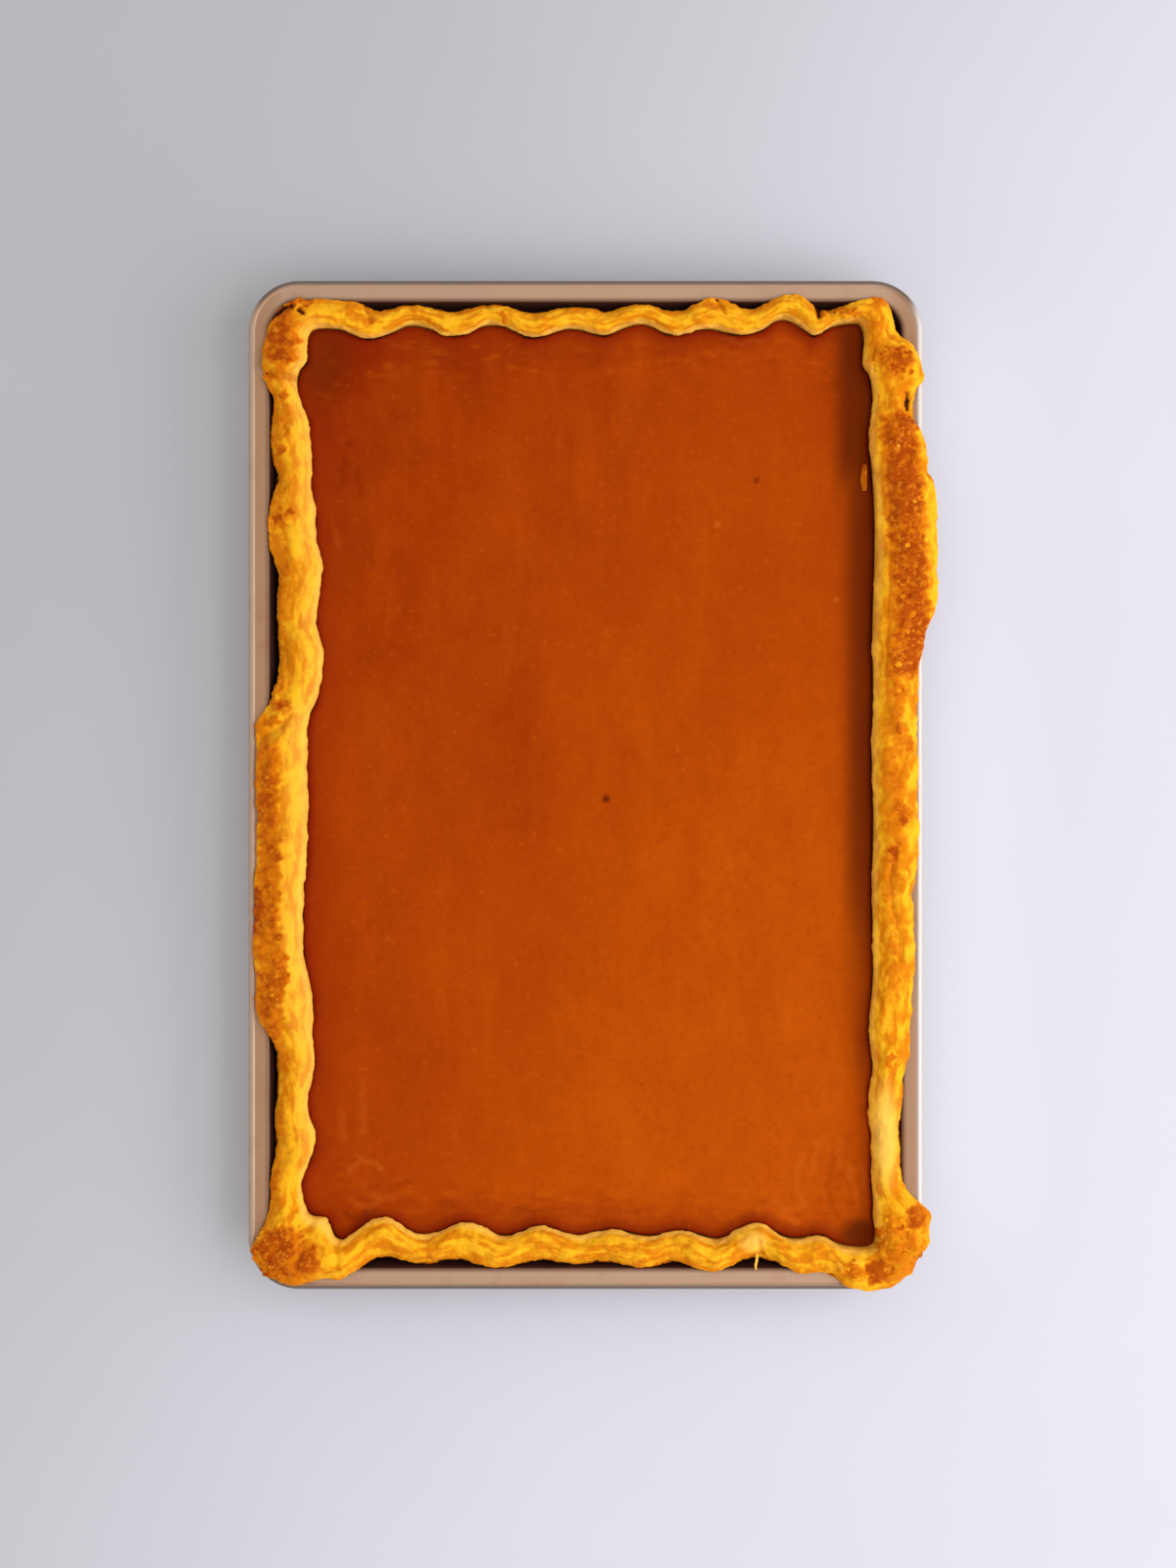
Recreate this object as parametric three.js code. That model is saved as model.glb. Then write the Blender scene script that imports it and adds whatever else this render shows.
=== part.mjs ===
// A slab pumpkin pie in its rectangular baking pan: a thin metal pan with a rolled rim, a pastry
// crust that lines it and ends in a finger-crimped border, and a pumpkin custard filling.
// Millimetres. +X is right, +Y is the far short side, +Z is up.
// The origin is the centre of the pan's flat underside.

import * as THREE from "three";

// ---------------------------------------------------------------- driving dimensions

const OPENING_X = 246.6; // inside of the rim, short way
const OPENING_Y = 377; // inside of the rim, long way
const PAN_DEPTH = 25;
const SHEET = 1; // thickness of the pan's sheet
const WALL_LEAN = THREE.MathUtils.degToRad(15);
const FLOOR_BEND = 6; // inside radius between the floor and a wall
const LIP_WIDTH = 5; // flat part of the rim
const BEAD_RADIUS = 1.7; // rolled edge of the rim
const CORNER_RADIUS = 11.5; // at the rim's inside edge
const CORNER_SPAN = 30; // how far round a corner the stations turn, past any inset used
const CORNER_STEPS = 11;
const SHORT_SIDE_STEP = 3.9; // between stations along the crimped short sides
const LONG_SIDE_STEP = 5.3;

const GAP = 0.4; // between neighbouring solids
const CRUST_BASE = 4; // thickness under the filling
const CRUST_WALL = 5; // thickness beside the filling, near the base
const FILLING_TOP = 19.4; // at its edge
const FILLING_SINK = 0.7; // how far the middle has sunk
const FILLING_EDGE = FILLING_TOP - 0.5; // where its top starts to round over
const BRIM_HEIGHT = FILLING_TOP + 0.4; // where the border's roll meets the crust's wall
const WAIST_HEIGHT = 9; // where the crust's wall meets its thicker foot
const WALL_HEIGHT = 17; // up to here the crust lies along the pan's wall
const SHOULDER_HEIGHT = 20.6; // of the border's outer underside, where it stands inside the pan
const TUCK_HEIGHT = 22.8; // of the same where it turns out over the rim
const BORDER_TOP = 27; // crest of the crimped border
const RIM_CLEARANCE = 0.5; // between the rim and pastry that lies over it

// The border's rounded crown from its outer edge to its inner one:
// [place across, drop below the crest, share of the roughness].
const CROWN = [[0.1, 1.3, 1], [0.3, 0.25, 1], [0.54, 0, 1], [0.77, 0.8, 1], [0.93, 2.5, 0.6]];
const OUTER_DROP = 3.4; // from the crest to the outer edge, where it stands inside the pan
const INNER_DROP = 4.6; // from the crest to the inner edge
const EDGE_OVER_RIM = 1.9; // height of the outer edge above the rim, where it lies over it
const CREST_OVER_RIM = 3.4; // least height of the crest above the rim there

// ---------------------------------------------------------------- the border as it was crimped

// Insets are measured from the rim's inside edge towards the middle, so a negative one lies over the rim.
// Each crimp is [place along its side, strength]: there a finger has pushed the border inwards.
const CRIMP_SPACING = 30;
const SIDES = {
  far: {
    outer: 2.6,
    inner: 9.6,
    outerPush: 1.9,
    innerPush: 3.8,
    crimps: [[-85, 1.35], [-53, 0.95], [-20, 1.15], [9, 0.95], [35, 0.75], [60, 0.75], [89, 1.25]],
  },
  right: {
    outer: 2.6,
    inner: 10.9,
    outerPush: 0.6,
    innerPush: 2,
    crimps: [[136, 0.9], [60, 0.3], [14, 0.4], [-40, 0.3], [-97, 1], [-127, 0.7]],
  },
  near: {
    outer: 1.9,
    inner: 12,
    outerPush: 2.4,
    innerPush: 5,
    crimps: [
      [93, 0.45], [67, 1.15], [38, 0.5], [11, 0.6], [-17, 0.9], [-47, 1.15], [-79, 1.55], [-113, 1.6],
    ],
  },
  left: {
    outer: 3.3,
    inner: 14.6,
    outerPush: 0.9,
    innerPush: 2.6,
    crimps: [[-141, 1.3], [-106, 0.5], [-88, 0.5], [-20, 0.1], [50, 1.1], [84, 1.2], [114, 0.7], [176, 1.2]],
  },
};

// Where the pastry has slumped over the rim, folded into a flap or bunched into a knob.
// out and in move the border's two edges, lift raises it and crag roughens it.
const FOLDS = [
  { side: "far", from: -110, to: -105, ramp: 5, out: 0.6, in: 0, lift: 0.6, crag: 0.6 },
  { side: "far", from: -89, to: -85, ramp: 5, out: 3, in: 0, lift: 0.8, crag: 0.3 },
  { side: "far", from: -68, to: -60, ramp: 7, out: 1.2, in: -1.8, lift: 0.3, crag: 0 },
  { side: "far", from: -40, to: -31, ramp: 8, out: 1.2, in: -1.8, lift: 0.3, crag: 0 },
  { side: "far", from: 15, to: 24, ramp: 8, out: 1.4, in: -2.2, lift: 0.3, crag: 0 },
  { side: "far", from: 49, to: 53, ramp: 8, out: 4, in: 0, lift: 0.6, crag: 0.2 },
  { side: "far", from: 60, to: 68, ramp: 6, out: 0.6, in: 0, lift: 0, crag: 0 },
  { side: "far", from: 77, to: 83, ramp: 8, out: 5.4, in: -5, lift: 1.4, crag: 0.2 },
  { side: "far", from: 84, to: 88, ramp: 4, out: 1.6, in: 0, lift: 0, crag: 0.2 },
  { side: "far", from: 94, to: 101, ramp: 6, out: 0.4, in: -2, lift: 0, crag: 0.2 },
  { side: "far", from: 108.5, to: 112.5, ramp: 8, out: 4.5, in: -3.6, lift: 0, crag: 0.2 },
  { side: "right", from: 159, to: 168, ramp: 7.5, out: 9, in: 1.2, lift: 3.4, crag: 0.9 },
  { side: "right", from: 168, to: 180, ramp: 6, out: -1.2, in: 3.4, lift: 0.6, crag: 0.1 },
  { side: "right", from: 131, to: 154, ramp: 9, out: 5.8, in: 0, lift: 0.4, crag: 0.2 },
  { side: "right", from: -106, to: 135, ramp: 9, out: 5.2, in: 0, lift: 2, crag: 0.25 },
  { side: "right", from: -26, to: 62, ramp: 22, out: 3, in: 0, lift: 0.4, crag: 0.2 },
  { side: "right", from: 54, to: 66, ramp: 8, out: 2, in: 0, lift: 0, crag: 0.2 },
  { side: "right", from: 79, to: 112, ramp: 24, out: 10.6, in: -0.6, lift: 1.6, crag: 0.9 },
  { side: "right", from: -78, to: -52, ramp: 10, out: 1.4, in: 0, lift: 0, crag: 0.1 },
  { side: "right", from: -125, to: -116, ramp: 6, out: 1.2, in: 0, lift: 0.2, crag: 0 },
  { side: "right", from: -158, to: -118, ramp: 9, out: 1, in: 0.8, lift: 0, crag: 0 },
  { side: "right", from: -176, to: -163, ramp: 6, out: 13, in: 0, lift: 3.2, crag: 0.7 },
  { side: "near", from: 101, to: 113, ramp: 7, out: 6.4, in: -2.4, lift: 2.8, crag: 0.9 },
  { side: "near", from: 86, to: 112, ramp: 12, out: 3.8, in: -2, lift: 0.6, crag: 0.3 },
  { side: "near", from: -120.5, to: -94, ramp: 8, out: 5.6, in: 0, lift: 3.2, crag: 0.8 },
  { side: "near", from: -118, to: -107.5, ramp: 7.5, out: 6, in: 0, lift: 0.4, crag: 0.2 },
  { side: "near", from: -100, to: -94, ramp: 5, out: 0, in: -2, lift: 0, crag: 0 },
  { side: "near", from: -91, to: -84, ramp: 4, out: 1.4, in: 0, lift: 0.6, crag: 0.4 },
  { side: "near", from: -44, to: -34, ramp: 7, out: 1.6, in: 0, lift: 0.3, crag: 0 },
  { side: "near", from: 14, to: 23, ramp: 8, out: 1.2, in: 0, lift: 0.2, crag: 0 },
  { side: "near", from: 45, to: 51, ramp: 7, out: 3, in: -1.4, lift: 0.4, crag: 0 },
  { side: "left", from: -164, to: -154, ramp: 7, out: 1.8, in: -2.6, lift: 0, crag: 0 },
  { side: "left", from: -92, to: 25, ramp: 9, out: 8, in: 0, lift: 2.2, crag: 0.35 },
  { side: "left", from: -66, to: -40, ramp: 12, out: 1, in: -1.4, lift: 0.4, crag: 0.2 },
  { side: "left", from: 34, to: 104, ramp: 9, out: 0, in: 3.4, lift: 0.2, crag: 0.1 },
  { side: "left", from: -112, to: -86, ramp: 9, out: 0, in: 1.8, lift: 0.2, crag: 0.1 },
  { side: "left", from: 31, to: 38, ramp: 6, out: 1.6, in: 0, lift: 0.4, crag: 0.3 },
  { side: "left", from: 94, to: 108, ramp: 12, out: 3.2, in: 0, lift: 0.4, crag: 0.4 },
  { side: "left", from: -150, to: -130, ramp: 7, out: 1.2, in: 0, lift: 0, crag: 0.1 },
  { side: "left", from: 128, to: 142, ramp: 6, out: 2.2, in: 0.6, lift: 0, crag: 0.1 },
  { side: "left", from: 151, to: 163, ramp: 7, out: 0.8, in: -4, lift: 0, crag: 0.1 },
  { side: "left", from: 157, to: 166, ramp: 5, out: 5.4, in: -1, lift: 2.4, crag: 0.7 },
  { side: "left", from: 167, to: 176, ramp: 5, out: 1.2, in: -1.2, lift: 0.4, crag: 0.2 },
  { side: "left", from: 171, to: 190, ramp: 6, out: 3, in: 0, lift: 1.8, crag: 0.8 },
];

// ---------------------------------------------------------------- small maths

const { clamp, lerp, smoothstep } = THREE.MathUtils;

// 1 from one place to another, falling smoothly to 0 over the ramp at each end.
function plateau(x, from, to, ramp) {
  return smoothstep(x, from - ramp, from) * (1 - smoothstep(x, to, to + ramp));
}

// Uneven bumps a few millimetres across, from -1 to 1.
function lumps(x, y) {
  const broad = Math.sin(0.61 * x + 0.4 * y + 1.3) * Math.sin(0.53 * y - 0.27 * x + 0.6);
  const fine = Math.sin(1.27 * x - 0.8 * y) * Math.sin(1.1 * y + 0.7 * x + 2.1);
  return 0.6 * broad + 0.4 * fine;
}

// ---------------------------------------------------------------- the way round the pan

const HALF_X = OPENING_X / 2;
const HALF_Y = OPENING_Y / 2;
const STRAIGHT_X = HALF_X - CORNER_SPAN; // half a short side, without its corners
const STRAIGHT_Y = HALF_Y - CORNER_SPAN;
const CORNER_LENGTH = (Math.PI / 2) * CORNER_SPAN;

// The sides in clockwise order seen from above: each one's outward and forward directions.
const ROUND = [
  { name: "far", out: [0, 1], along: [1, 0], half: STRAIGHT_X, reach: HALF_Y },
  { name: "right", out: [1, 0], along: [0, -1], half: STRAIGHT_Y, reach: HALF_X },
  { name: "near", out: [0, -1], along: [-1, 0], half: STRAIGHT_X, reach: HALF_Y },
  { name: "left", out: [-1, 0], along: [0, 1], half: STRAIGHT_Y, reach: HALF_X },
];
let roundLength = 0;
for (const side of ROUND) {
  side.start = roundLength;
  roundLength += 2 * side.half + CORNER_LENGTH;
}

// The distance round the pan of a place on a side, given by its x or y. It may lie in a corner.
function distanceRound(sideName, at) {
  const side = ROUND.find((s) => s.name === sideName);
  const forward = at * (side.along[0] + side.along[1]);
  const past = Math.min(Math.max(Math.abs(forward) - side.half, 0), CORNER_SPAN);
  const arc = CORNER_SPAN * Math.asin(past / CORNER_SPAN);
  const straight = clamp(forward, -side.half, side.half);
  return side.start + side.half + straight + Math.sign(forward) * arc;
}

// Stations at which every loop has one point, on straights and round corners. Without steps for
// its sides, a straight has only its end stations.
function makeStations(shortSideStep = Infinity, longSideStep = Infinity) {
  const stations = [];
  ROUND.forEach((side, k) => {
    const steps = Math.ceil((2 * side.half) / (side.reach === HALF_Y ? shortSideStep : longSideStep)) || 1;
    for (let i = 0; i < steps; i++) {
      const distance = (2 * side.half * i) / steps;
      stations.push({ side, forward: distance - side.half, turn: null, distance: side.start + distance });
    }
    for (let i = 0; i < CORNER_STEPS; i++) {
      const turn = ((Math.PI / 2) * i) / CORNER_STEPS;
      const distance = side.start + 2 * side.half + CORNER_SPAN * turn;
      stations.push({ side, next: ROUND[(k + 1) % 4], turn, distance });
    }
  });
  return stations;
}

// How far a corner's rounded square reaches from its centre of turn: a is its half side, r its radius.
function cornerReach(turn, a, r) {
  const c = Math.max(Math.cos(turn), Math.sin(turn));
  const s = Math.min(Math.cos(turn), Math.sin(turn));
  const k = a - r;
  if ((a * s) / c <= k) return a / c;
  return k * (c + s) + Math.sqrt(Math.max(r * r - (k * (c - s)) ** 2, 0));
}

// The plan position of a station's point at an inset.
function planPoint(station, inset) {
  const { side } = station;
  if (station.turn === null) {
    const reach = side.reach - inset;
    return [0, 1].map((i) => side.out[i] * reach + side.along[i] * station.forward);
  }
  const half = CORNER_SPAN - inset;
  const radius = inset < 0 ? CORNER_RADIUS - inset : Math.min(CORNER_RADIUS, half);
  const reach = cornerReach(station.turn, half, radius);
  const out = Math.cos(station.turn) * reach + side.reach - CORNER_SPAN;
  const forward = Math.sin(station.turn) * reach + side.half;
  return [0, 1].map((i) => side.out[i] * out + side.along[i] * forward);
}

// A closed solid from loops of [inset, height] round the same stations, from the middle of its
// underside out, up and back in to the middle of its top. A face's diagonal leans the same way
// whether its wall is drawn upwards or downwards, so two solids can share a wall a gap apart.
function loopSolid(stations, loops, bottomHeight, topHeight) {
  const positions = [];
  for (const loop of loops) {
    stations.forEach((station, i) => {
      const [inset, height] = loop[i];
      positions.push(...planPoint(station, inset), height);
    });
  }
  const n = stations.length;
  const bottom = positions.length / 3;
  positions.push(0, 0, bottomHeight, 0, 0, topHeight);
  const top = bottom + 1;
  const faces = [];
  for (let i = 0; i < n; i++) {
    const j = (i + 1) % n;
    faces.push(bottom, i, j);
    for (let row = 0; row + 1 < loops.length; row++) {
      const a = row * n + i;
      const b = row * n + j;
      const rises = loops[row + 1][i][1] > loops[row][i][1];
      if (rises) faces.push(a, a + n, b + n, a, b + n, b);
      else faces.push(a, a + n, b, b, a + n, b + n);
    }
    const last = (loops.length - 1) * n;
    faces.push(top, last + j, last + i);
  }
  const geometry = new THREE.BufferGeometry();
  geometry.setAttribute("position", new THREE.Float32BufferAttribute(positions, 3));
  geometry.setIndex(faces);
  return geometry;
}

// ---------------------------------------------------------------- pan

const LIP_TOP = PAN_DEPTH - 0.4;
const BEND_CENTRE_HEIGHT = SHEET + FLOOR_BEND;
const WALL_FOOT = LIP_TOP * Math.tan(WALL_LEAN) - 1; // inset of the wall where its bend begins
const BEND_CENTRE_INSET = WALL_FOOT + FLOOR_BEND;
const wallInset = (height) => WALL_FOOT_INSIDE[0] - (height - WALL_FOOT_INSIDE[1]) * Math.tan(WALL_LEAN);

// A point of the floor's bend; angle 0 is straight down.
function bendPoint(radius, angle) {
  return [BEND_CENTRE_INSET - radius * Math.sin(angle), BEND_CENTRE_HEIGHT - radius * Math.cos(angle)];
}

const BEND_ANGLE = Math.PI / 2 - WALL_LEAN;
const WALL_FOOT_INSIDE = bendPoint(FLOOR_BEND, BEND_ANGLE);
const BEND_STEPS = 4;

function makePanProfile() {
  const outside = [];
  const inside = [];
  for (let i = 0; i <= BEND_STEPS; i++) {
    const angle = (BEND_ANGLE * i) / BEND_STEPS;
    outside.push(bendPoint(FLOOR_BEND + SHEET, angle));
    inside.unshift(bendPoint(FLOOR_BEND, angle));
  }
  const lipUnder = LIP_TOP - SHEET;
  const sideways = SHEET / Math.cos(WALL_LEAN);
  const beadInset = -LIP_WIDTH - BEAD_RADIUS;
  const beadHeight = PAN_DEPTH - BEAD_RADIUS;
  const joinUnder = Math.asin((lipUnder - beadHeight) / BEAD_RADIUS);
  const joinTop = Math.asin((LIP_TOP - beadHeight) / BEAD_RADIUS);
  const bead = [];
  const beadSteps = 9;
  for (let i = 0; i <= beadSteps; i++) {
    const angle = lerp(joinUnder, joinTop - 2 * Math.PI, i / beadSteps);
    bead.push([beadInset + BEAD_RADIUS * Math.cos(angle), beadHeight + BEAD_RADIUS * Math.sin(angle)]);
  }
  const rimEdge = [
    [-0.2, LIP_TOP],
    [wallInset(LIP_TOP - 0.3) - 0.25, LIP_TOP - 0.3],
    [wallInset(LIP_TOP - 1), LIP_TOP - 1],
  ];
  return [...outside, [wallInset(lipUnder) - sideways, lipUnder], ...bead, ...rimEdge, ...inside];
}

function makePan() {
  const stations = makeStations();
  const loops = makePanProfile().map((point) => stations.map(() => point));
  return loopSolid(stations, loops, 0, SHEET);
}

// ---------------------------------------------------------------- crust

// Each side's crimps in order, by their distance round the pan.
const CRIMPS = {};
for (const [name, { crimps }] of Object.entries(SIDES)) {
  CRIMPS[name] = crimps.map(([at, strength]) => ({ distance: distanceRound(name, at), strength }));
  CRIMPS[name].sort((a, b) => a.distance - b.distance);
}

// The strength of a side's crimps at a distance: full at each crimp and none halfway between two.
function crimpStrength(name, distance) {
  const crimps = CRIMPS[name];
  const nothing = (crimp, away) => ({ distance: crimp.distance + away, strength: 0 });
  const before = crimps.findLast((crimp) => crimp.distance <= distance) ?? nothing(crimps[0], -CRIMP_SPACING);
  const after = crimps.find((crimp) => crimp.distance > distance) ?? nothing(crimps.at(-1), CRIMP_SPACING);
  const t = clamp((distance - before.distance) / (after.distance - before.distance), 0, 1);
  return lerp(before.strength, after.strength, t) * (0.5 + 0.5 * Math.cos(2 * Math.PI * t));
}

for (const fold of FOLDS) {
  const ends = [distanceRound(fold.side, fold.from), distanceRound(fold.side, fold.to)];
  fold.start = Math.min(...ends);
  fold.end = Math.max(...ends);
}

// A fold's strength at a distance round the pan, which closes on itself.
function foldStrength(fold, distance) {
  const turns = [-roundLength, 0, roundLength];
  return Math.max(...turns.map((turn) => plateau(distance + turn, fold.start, fold.end, fold.ramp)));
}

// The insets of a side's two crimped edges.
function crimpedEdges(name, distance) {
  const { outer, inner, outerPush, innerPush } = SIDES[name];
  const push = crimpStrength(name, distance);
  return [outer + outerPush * push, inner + innerPush * push];
}

// The border at a station: the insets of its two edges, its crest's height and its roughness.
function borderAt({ side, next, turn, distance }) {
  let [outer, inner] = crimpedEdges(side.name, distance);
  if (next) {
    const share = smoothstep(turn, 0, Math.PI / 2);
    const beyond = crimpedEdges(next.name, next.start === 0 ? distance - roundLength : distance);
    outer = lerp(outer, beyond[0], share);
    inner = lerp(inner, beyond[1], share);
  }
  const sway = Math.sin(0.19 * distance) + 0.6 * Math.sin(0.083 * distance + 1);
  let top = BORDER_TOP + 0.35 * sway;
  let crag = 0.12;
  for (const fold of FOLDS) {
    const strength = foldStrength(fold, distance);
    outer -= fold.out * strength;
    inner += fold.in * strength;
    top += fold.lift * strength;
    crag += fold.crag * strength;
  }
  return { outer, inner, top, crag };
}

// The lowest height at which pastry at an inset still clears the rim and its bead.
function clearOfRim(inset) {
  const over = PAN_DEPTH + RIM_CLEARANCE;
  if (inset < 0.5) return over;
  return inset < 1.4 ? lerp(over, over - 2.2, (inset - 0.5) / 0.9) : 0;
}

// The crust's section at a station, as [inset, height] from the base's underside to its top.
// over is 1 where the border lies over the rim, here or at a neighbouring station.
function crustSection(station, { outer, inner, top: crest, crag }, over) {
  const across = (t) => lerp(outer, inner, t);
  const [x, y] = planPoint(station, across(0.5));
  const rough = (t) => crag * lumps(x + 9 * t, y - 7 * t);
  const top = Math.max(crest, lerp(crest, PAN_DEPTH + CREST_OVER_RIM, over));
  const rimTop = PAN_DEPTH + RIM_CLEARANCE;
  const edgeHeight = lerp(top - OUTER_DROP, PAN_DEPTH + EDGE_OVER_RIM, over);
  const shoulder = Math.max(outer + 0.9, lerp(2.6, 1.5, over));
  const underEdge = Math.min(outer + lerp(0.1, 0.8, over), Math.max(outer + 0.3, 0.6));
  const beside = [
    [BEND_CENTRE_INSET, SHEET + GAP],
    bendPoint(FLOOR_BEND - 1.75 * GAP, BEND_ANGLE),
    [wallInset(WALL_HEIGHT) + 2.2 * GAP, WALL_HEIGHT],
    [shoulder, lerp(SHOULDER_HEIGHT, TUCK_HEIGHT, over)],
    [Math.max(outer + 0.5, 0.7), lerp(SHOULDER_HEIGHT + 1.6, rimTop + 0.1, over)],
    [underEdge, lerp(edgeHeight - 0.9, rimTop + 0.2, over)],
    [outer, edgeHeight],
  ].map(([inset, height]) => [inset, Math.max(height, clearOfRim(inset))]);
  const crown = CROWN.map(([t, drop, share]) => [across(t), top - drop + share * rough(t)]);
  const within = [
    [inner, top - INNER_DROP],
    [inner - 0.9, BRIM_HEIGHT],
    [wallInset(WAIST_HEIGHT) + GAP + CRUST_WALL, WAIST_HEIGHT],
    [BEND_CENTRE_INSET + CRUST_WALL, SHEET + GAP + CRUST_BASE],
  ];
  return [...beside, ...crown, ...within];
}

// Where the crust's inner wall stands beside the filling's edge.
function wallBesideFilling(section) {
  const [brim, waist] = section.slice(-3);
  return lerp(brim[0], waist[0], (BRIM_HEIGHT - FILLING_EDGE) / (BRIM_HEIGHT - WAIST_HEIGHT));
}

const crustStations = makeStations(SHORT_SIDE_STEP, LONG_SIDE_STEP);
const borders = crustStations.map(borderAt);
const overRim = borders.map(({ outer }) => smoothstep(-outer, -2, 0.8));
const crustSections = crustStations.map((station, i) => {
  const near = [-1, 0, 1].map((step) => overRim.at((i + step) % overRim.length));
  return crustSection(station, borders[i], Math.max(...near));
});

function makeCrust() {
  const loops = crustSections[0].map((_, row) => crustSections.map((section) => section[row]));
  return loopSolid(crustStations, loops, SHEET + GAP, SHEET + GAP + CRUST_BASE);
}

// ---------------------------------------------------------------- filling

// The filling follows the inside of the crust, a gap away, and its top sinks towards the middle.
function makeFilling() {
  const base = SHEET + 2 * GAP + CRUST_BASE;
  const shortestStep = 3;
  const brims = crustSections.map(wallBesideFilling);
  const sections = crustSections.map((section, i) => {
    const [waist, foot] = section.slice(-2);
    const neighbours = [brims.at(i - 1), brims[(i + 1) % brims.length]];
    const slope = Math.max(...neighbours.map((inset) => Math.abs(inset - brims[i]))) / shortestStep;
    const brim = brims[i] + 1.2 * GAP * Math.hypot(1.2, slope); // a gap measured square to the wall
    return [
      [foot[0] + 1.5 * GAP, base],
      [waist[0] + 1.8 * GAP, waist[1] + 0.5 * GAP],
      [brim, FILLING_EDGE],
      [brim + 1.4, FILLING_TOP],
      [lerp(brim, 40, 0.5), FILLING_TOP - 0.4 * FILLING_SINK],
    ];
  });
  const loops = sections[0].map((_, row) => sections.map((section) => section[row]));
  return loopSolid(crustStations, loops, base, FILLING_TOP - FILLING_SINK);
}

// ---------------------------------------------------------------- the object

function named(name, geometry, color, roughness, metalness) {
  const mesh = new THREE.Mesh(geometry, new THREE.MeshStandardMaterial({ color, roughness, metalness }));
  mesh.name = name;
  return mesh;
}

const pie = new THREE.Group();
pie.add(named("pan", makePan(), 0xbf9a80, 0.35, 0.6));
pie.add(named("crust", makeCrust(), 0xe8a52c, 0.75, 0));
pie.add(named("filling", makeFilling(), 0xb54d0a, 0.45, 0));

export default pie;
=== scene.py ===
# %% [markdown]
# # A slab pumpkin pie in its baking pan
#
# The real thing is three parts nested in each other: a shallow metal pan with a rolled rim, a
# pastry crust that lines it and ends in a finger-crimped border, and a pumpkin custard that has
# set inside the crust. The measured model of those three parts is loaded first. It never changes,
# and every piece made here stands in the same place as the part that it dresses.

import math

import bmesh
import bpy
import numpy as np
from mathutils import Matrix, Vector, kdtree


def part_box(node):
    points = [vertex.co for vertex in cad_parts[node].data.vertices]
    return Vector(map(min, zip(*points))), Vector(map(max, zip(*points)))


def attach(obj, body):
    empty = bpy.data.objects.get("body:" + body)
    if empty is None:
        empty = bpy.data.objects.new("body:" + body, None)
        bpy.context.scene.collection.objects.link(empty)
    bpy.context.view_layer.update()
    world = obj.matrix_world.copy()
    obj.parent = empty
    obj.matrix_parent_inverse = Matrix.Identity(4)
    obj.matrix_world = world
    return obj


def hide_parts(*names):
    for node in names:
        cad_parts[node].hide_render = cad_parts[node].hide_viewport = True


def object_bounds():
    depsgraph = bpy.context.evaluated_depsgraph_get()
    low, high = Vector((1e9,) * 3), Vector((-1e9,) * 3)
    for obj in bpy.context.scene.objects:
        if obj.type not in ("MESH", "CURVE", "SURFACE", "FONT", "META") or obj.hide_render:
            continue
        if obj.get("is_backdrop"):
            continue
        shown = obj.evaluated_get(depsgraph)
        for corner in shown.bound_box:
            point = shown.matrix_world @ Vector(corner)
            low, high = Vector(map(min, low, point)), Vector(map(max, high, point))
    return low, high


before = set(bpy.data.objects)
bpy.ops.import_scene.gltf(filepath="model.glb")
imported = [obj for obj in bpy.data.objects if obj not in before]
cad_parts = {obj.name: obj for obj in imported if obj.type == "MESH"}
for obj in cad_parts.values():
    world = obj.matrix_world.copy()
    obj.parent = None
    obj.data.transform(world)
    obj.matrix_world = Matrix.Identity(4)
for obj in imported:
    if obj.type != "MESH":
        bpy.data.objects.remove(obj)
measured_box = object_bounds()
MM = 0.001  # the scene is in metres, and the sizes below are thought out in millimetres
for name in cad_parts:
    low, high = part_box(name)
    print(f"{name}: {[round(v / MM, 1) for v in low]} to {[round(v / MM, 1) for v in high]} mm")

# %% [markdown]
# ## Working habits
#
# Blender's operators act on whatever is selected, so a modeller always clears the selection,
# picks one object, and then picks faces or edges. By hand that is done with the mouse. In a
# script it is done by a rule, such as "all edges on the outline". These few helpers do that.


# %% Selecting and editing
def pick_only(piece):
    """Deselects everything and makes this piece the active one."""
    bpy.ops.object.select_all(action="DESELECT")
    piece.select_set(True)
    bpy.context.view_layer.objects.active = piece


def start_edit(piece, kind="VERT", action="DESELECT"):
    """Goes into edit mode on a piece, with nothing selected, or everything after "SELECT"."""
    pick_only(piece)
    bpy.ops.object.mode_set(mode="EDIT")
    bpy.ops.mesh.select_mode(type=kind)
    bpy.ops.mesh.select_all(action=action)


def end_edit():
    bpy.ops.object.mode_set(mode="OBJECT")


def select_by(piece, part, rule):
    """In edit mode, selects the verts, edges or faces for which the rule is true."""
    bpy.ops.mesh.select_all(action="DESELECT")
    shape = bmesh.from_edit_mesh(piece.data)
    chosen = [element for element in getattr(shape, part) if rule(element)]
    for element in chosen:
        element.select_set(True)
    bmesh.update_edit_mesh(piece.data)
    return len(chosen)


def face_outwards(piece):
    """Turns all faces of a closed piece to the outside."""
    start_edit(piece, action="SELECT")
    bpy.ops.mesh.normals_make_consistent(inside=False)
    end_edit()


def apply_modifier(piece, kind, **settings):
    """Adds a modifier, sets it and applies it."""
    pick_only(piece)
    modifier = piece.modifiers.new(kind.title(), kind)
    for key, value in settings.items():
        setattr(modifier, key, value)
    bpy.ops.object.modifier_apply(modifier=modifier.name)


def read_points(piece, what="co"):
    """A piece's vertex places in millimetres, or its vertex normals."""
    values = np.empty(len(piece.data.vertices) * 3, np.float32)
    piece.data.vertices.foreach_get(what, values)
    return values.reshape(-1, 3).astype(float) / (MM if what == "co" else 1)


def write_points(piece, points):
    piece.data.vertices.foreach_set("co", (points * MM).astype(np.float32).ravel())
    piece.data.update()


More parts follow.
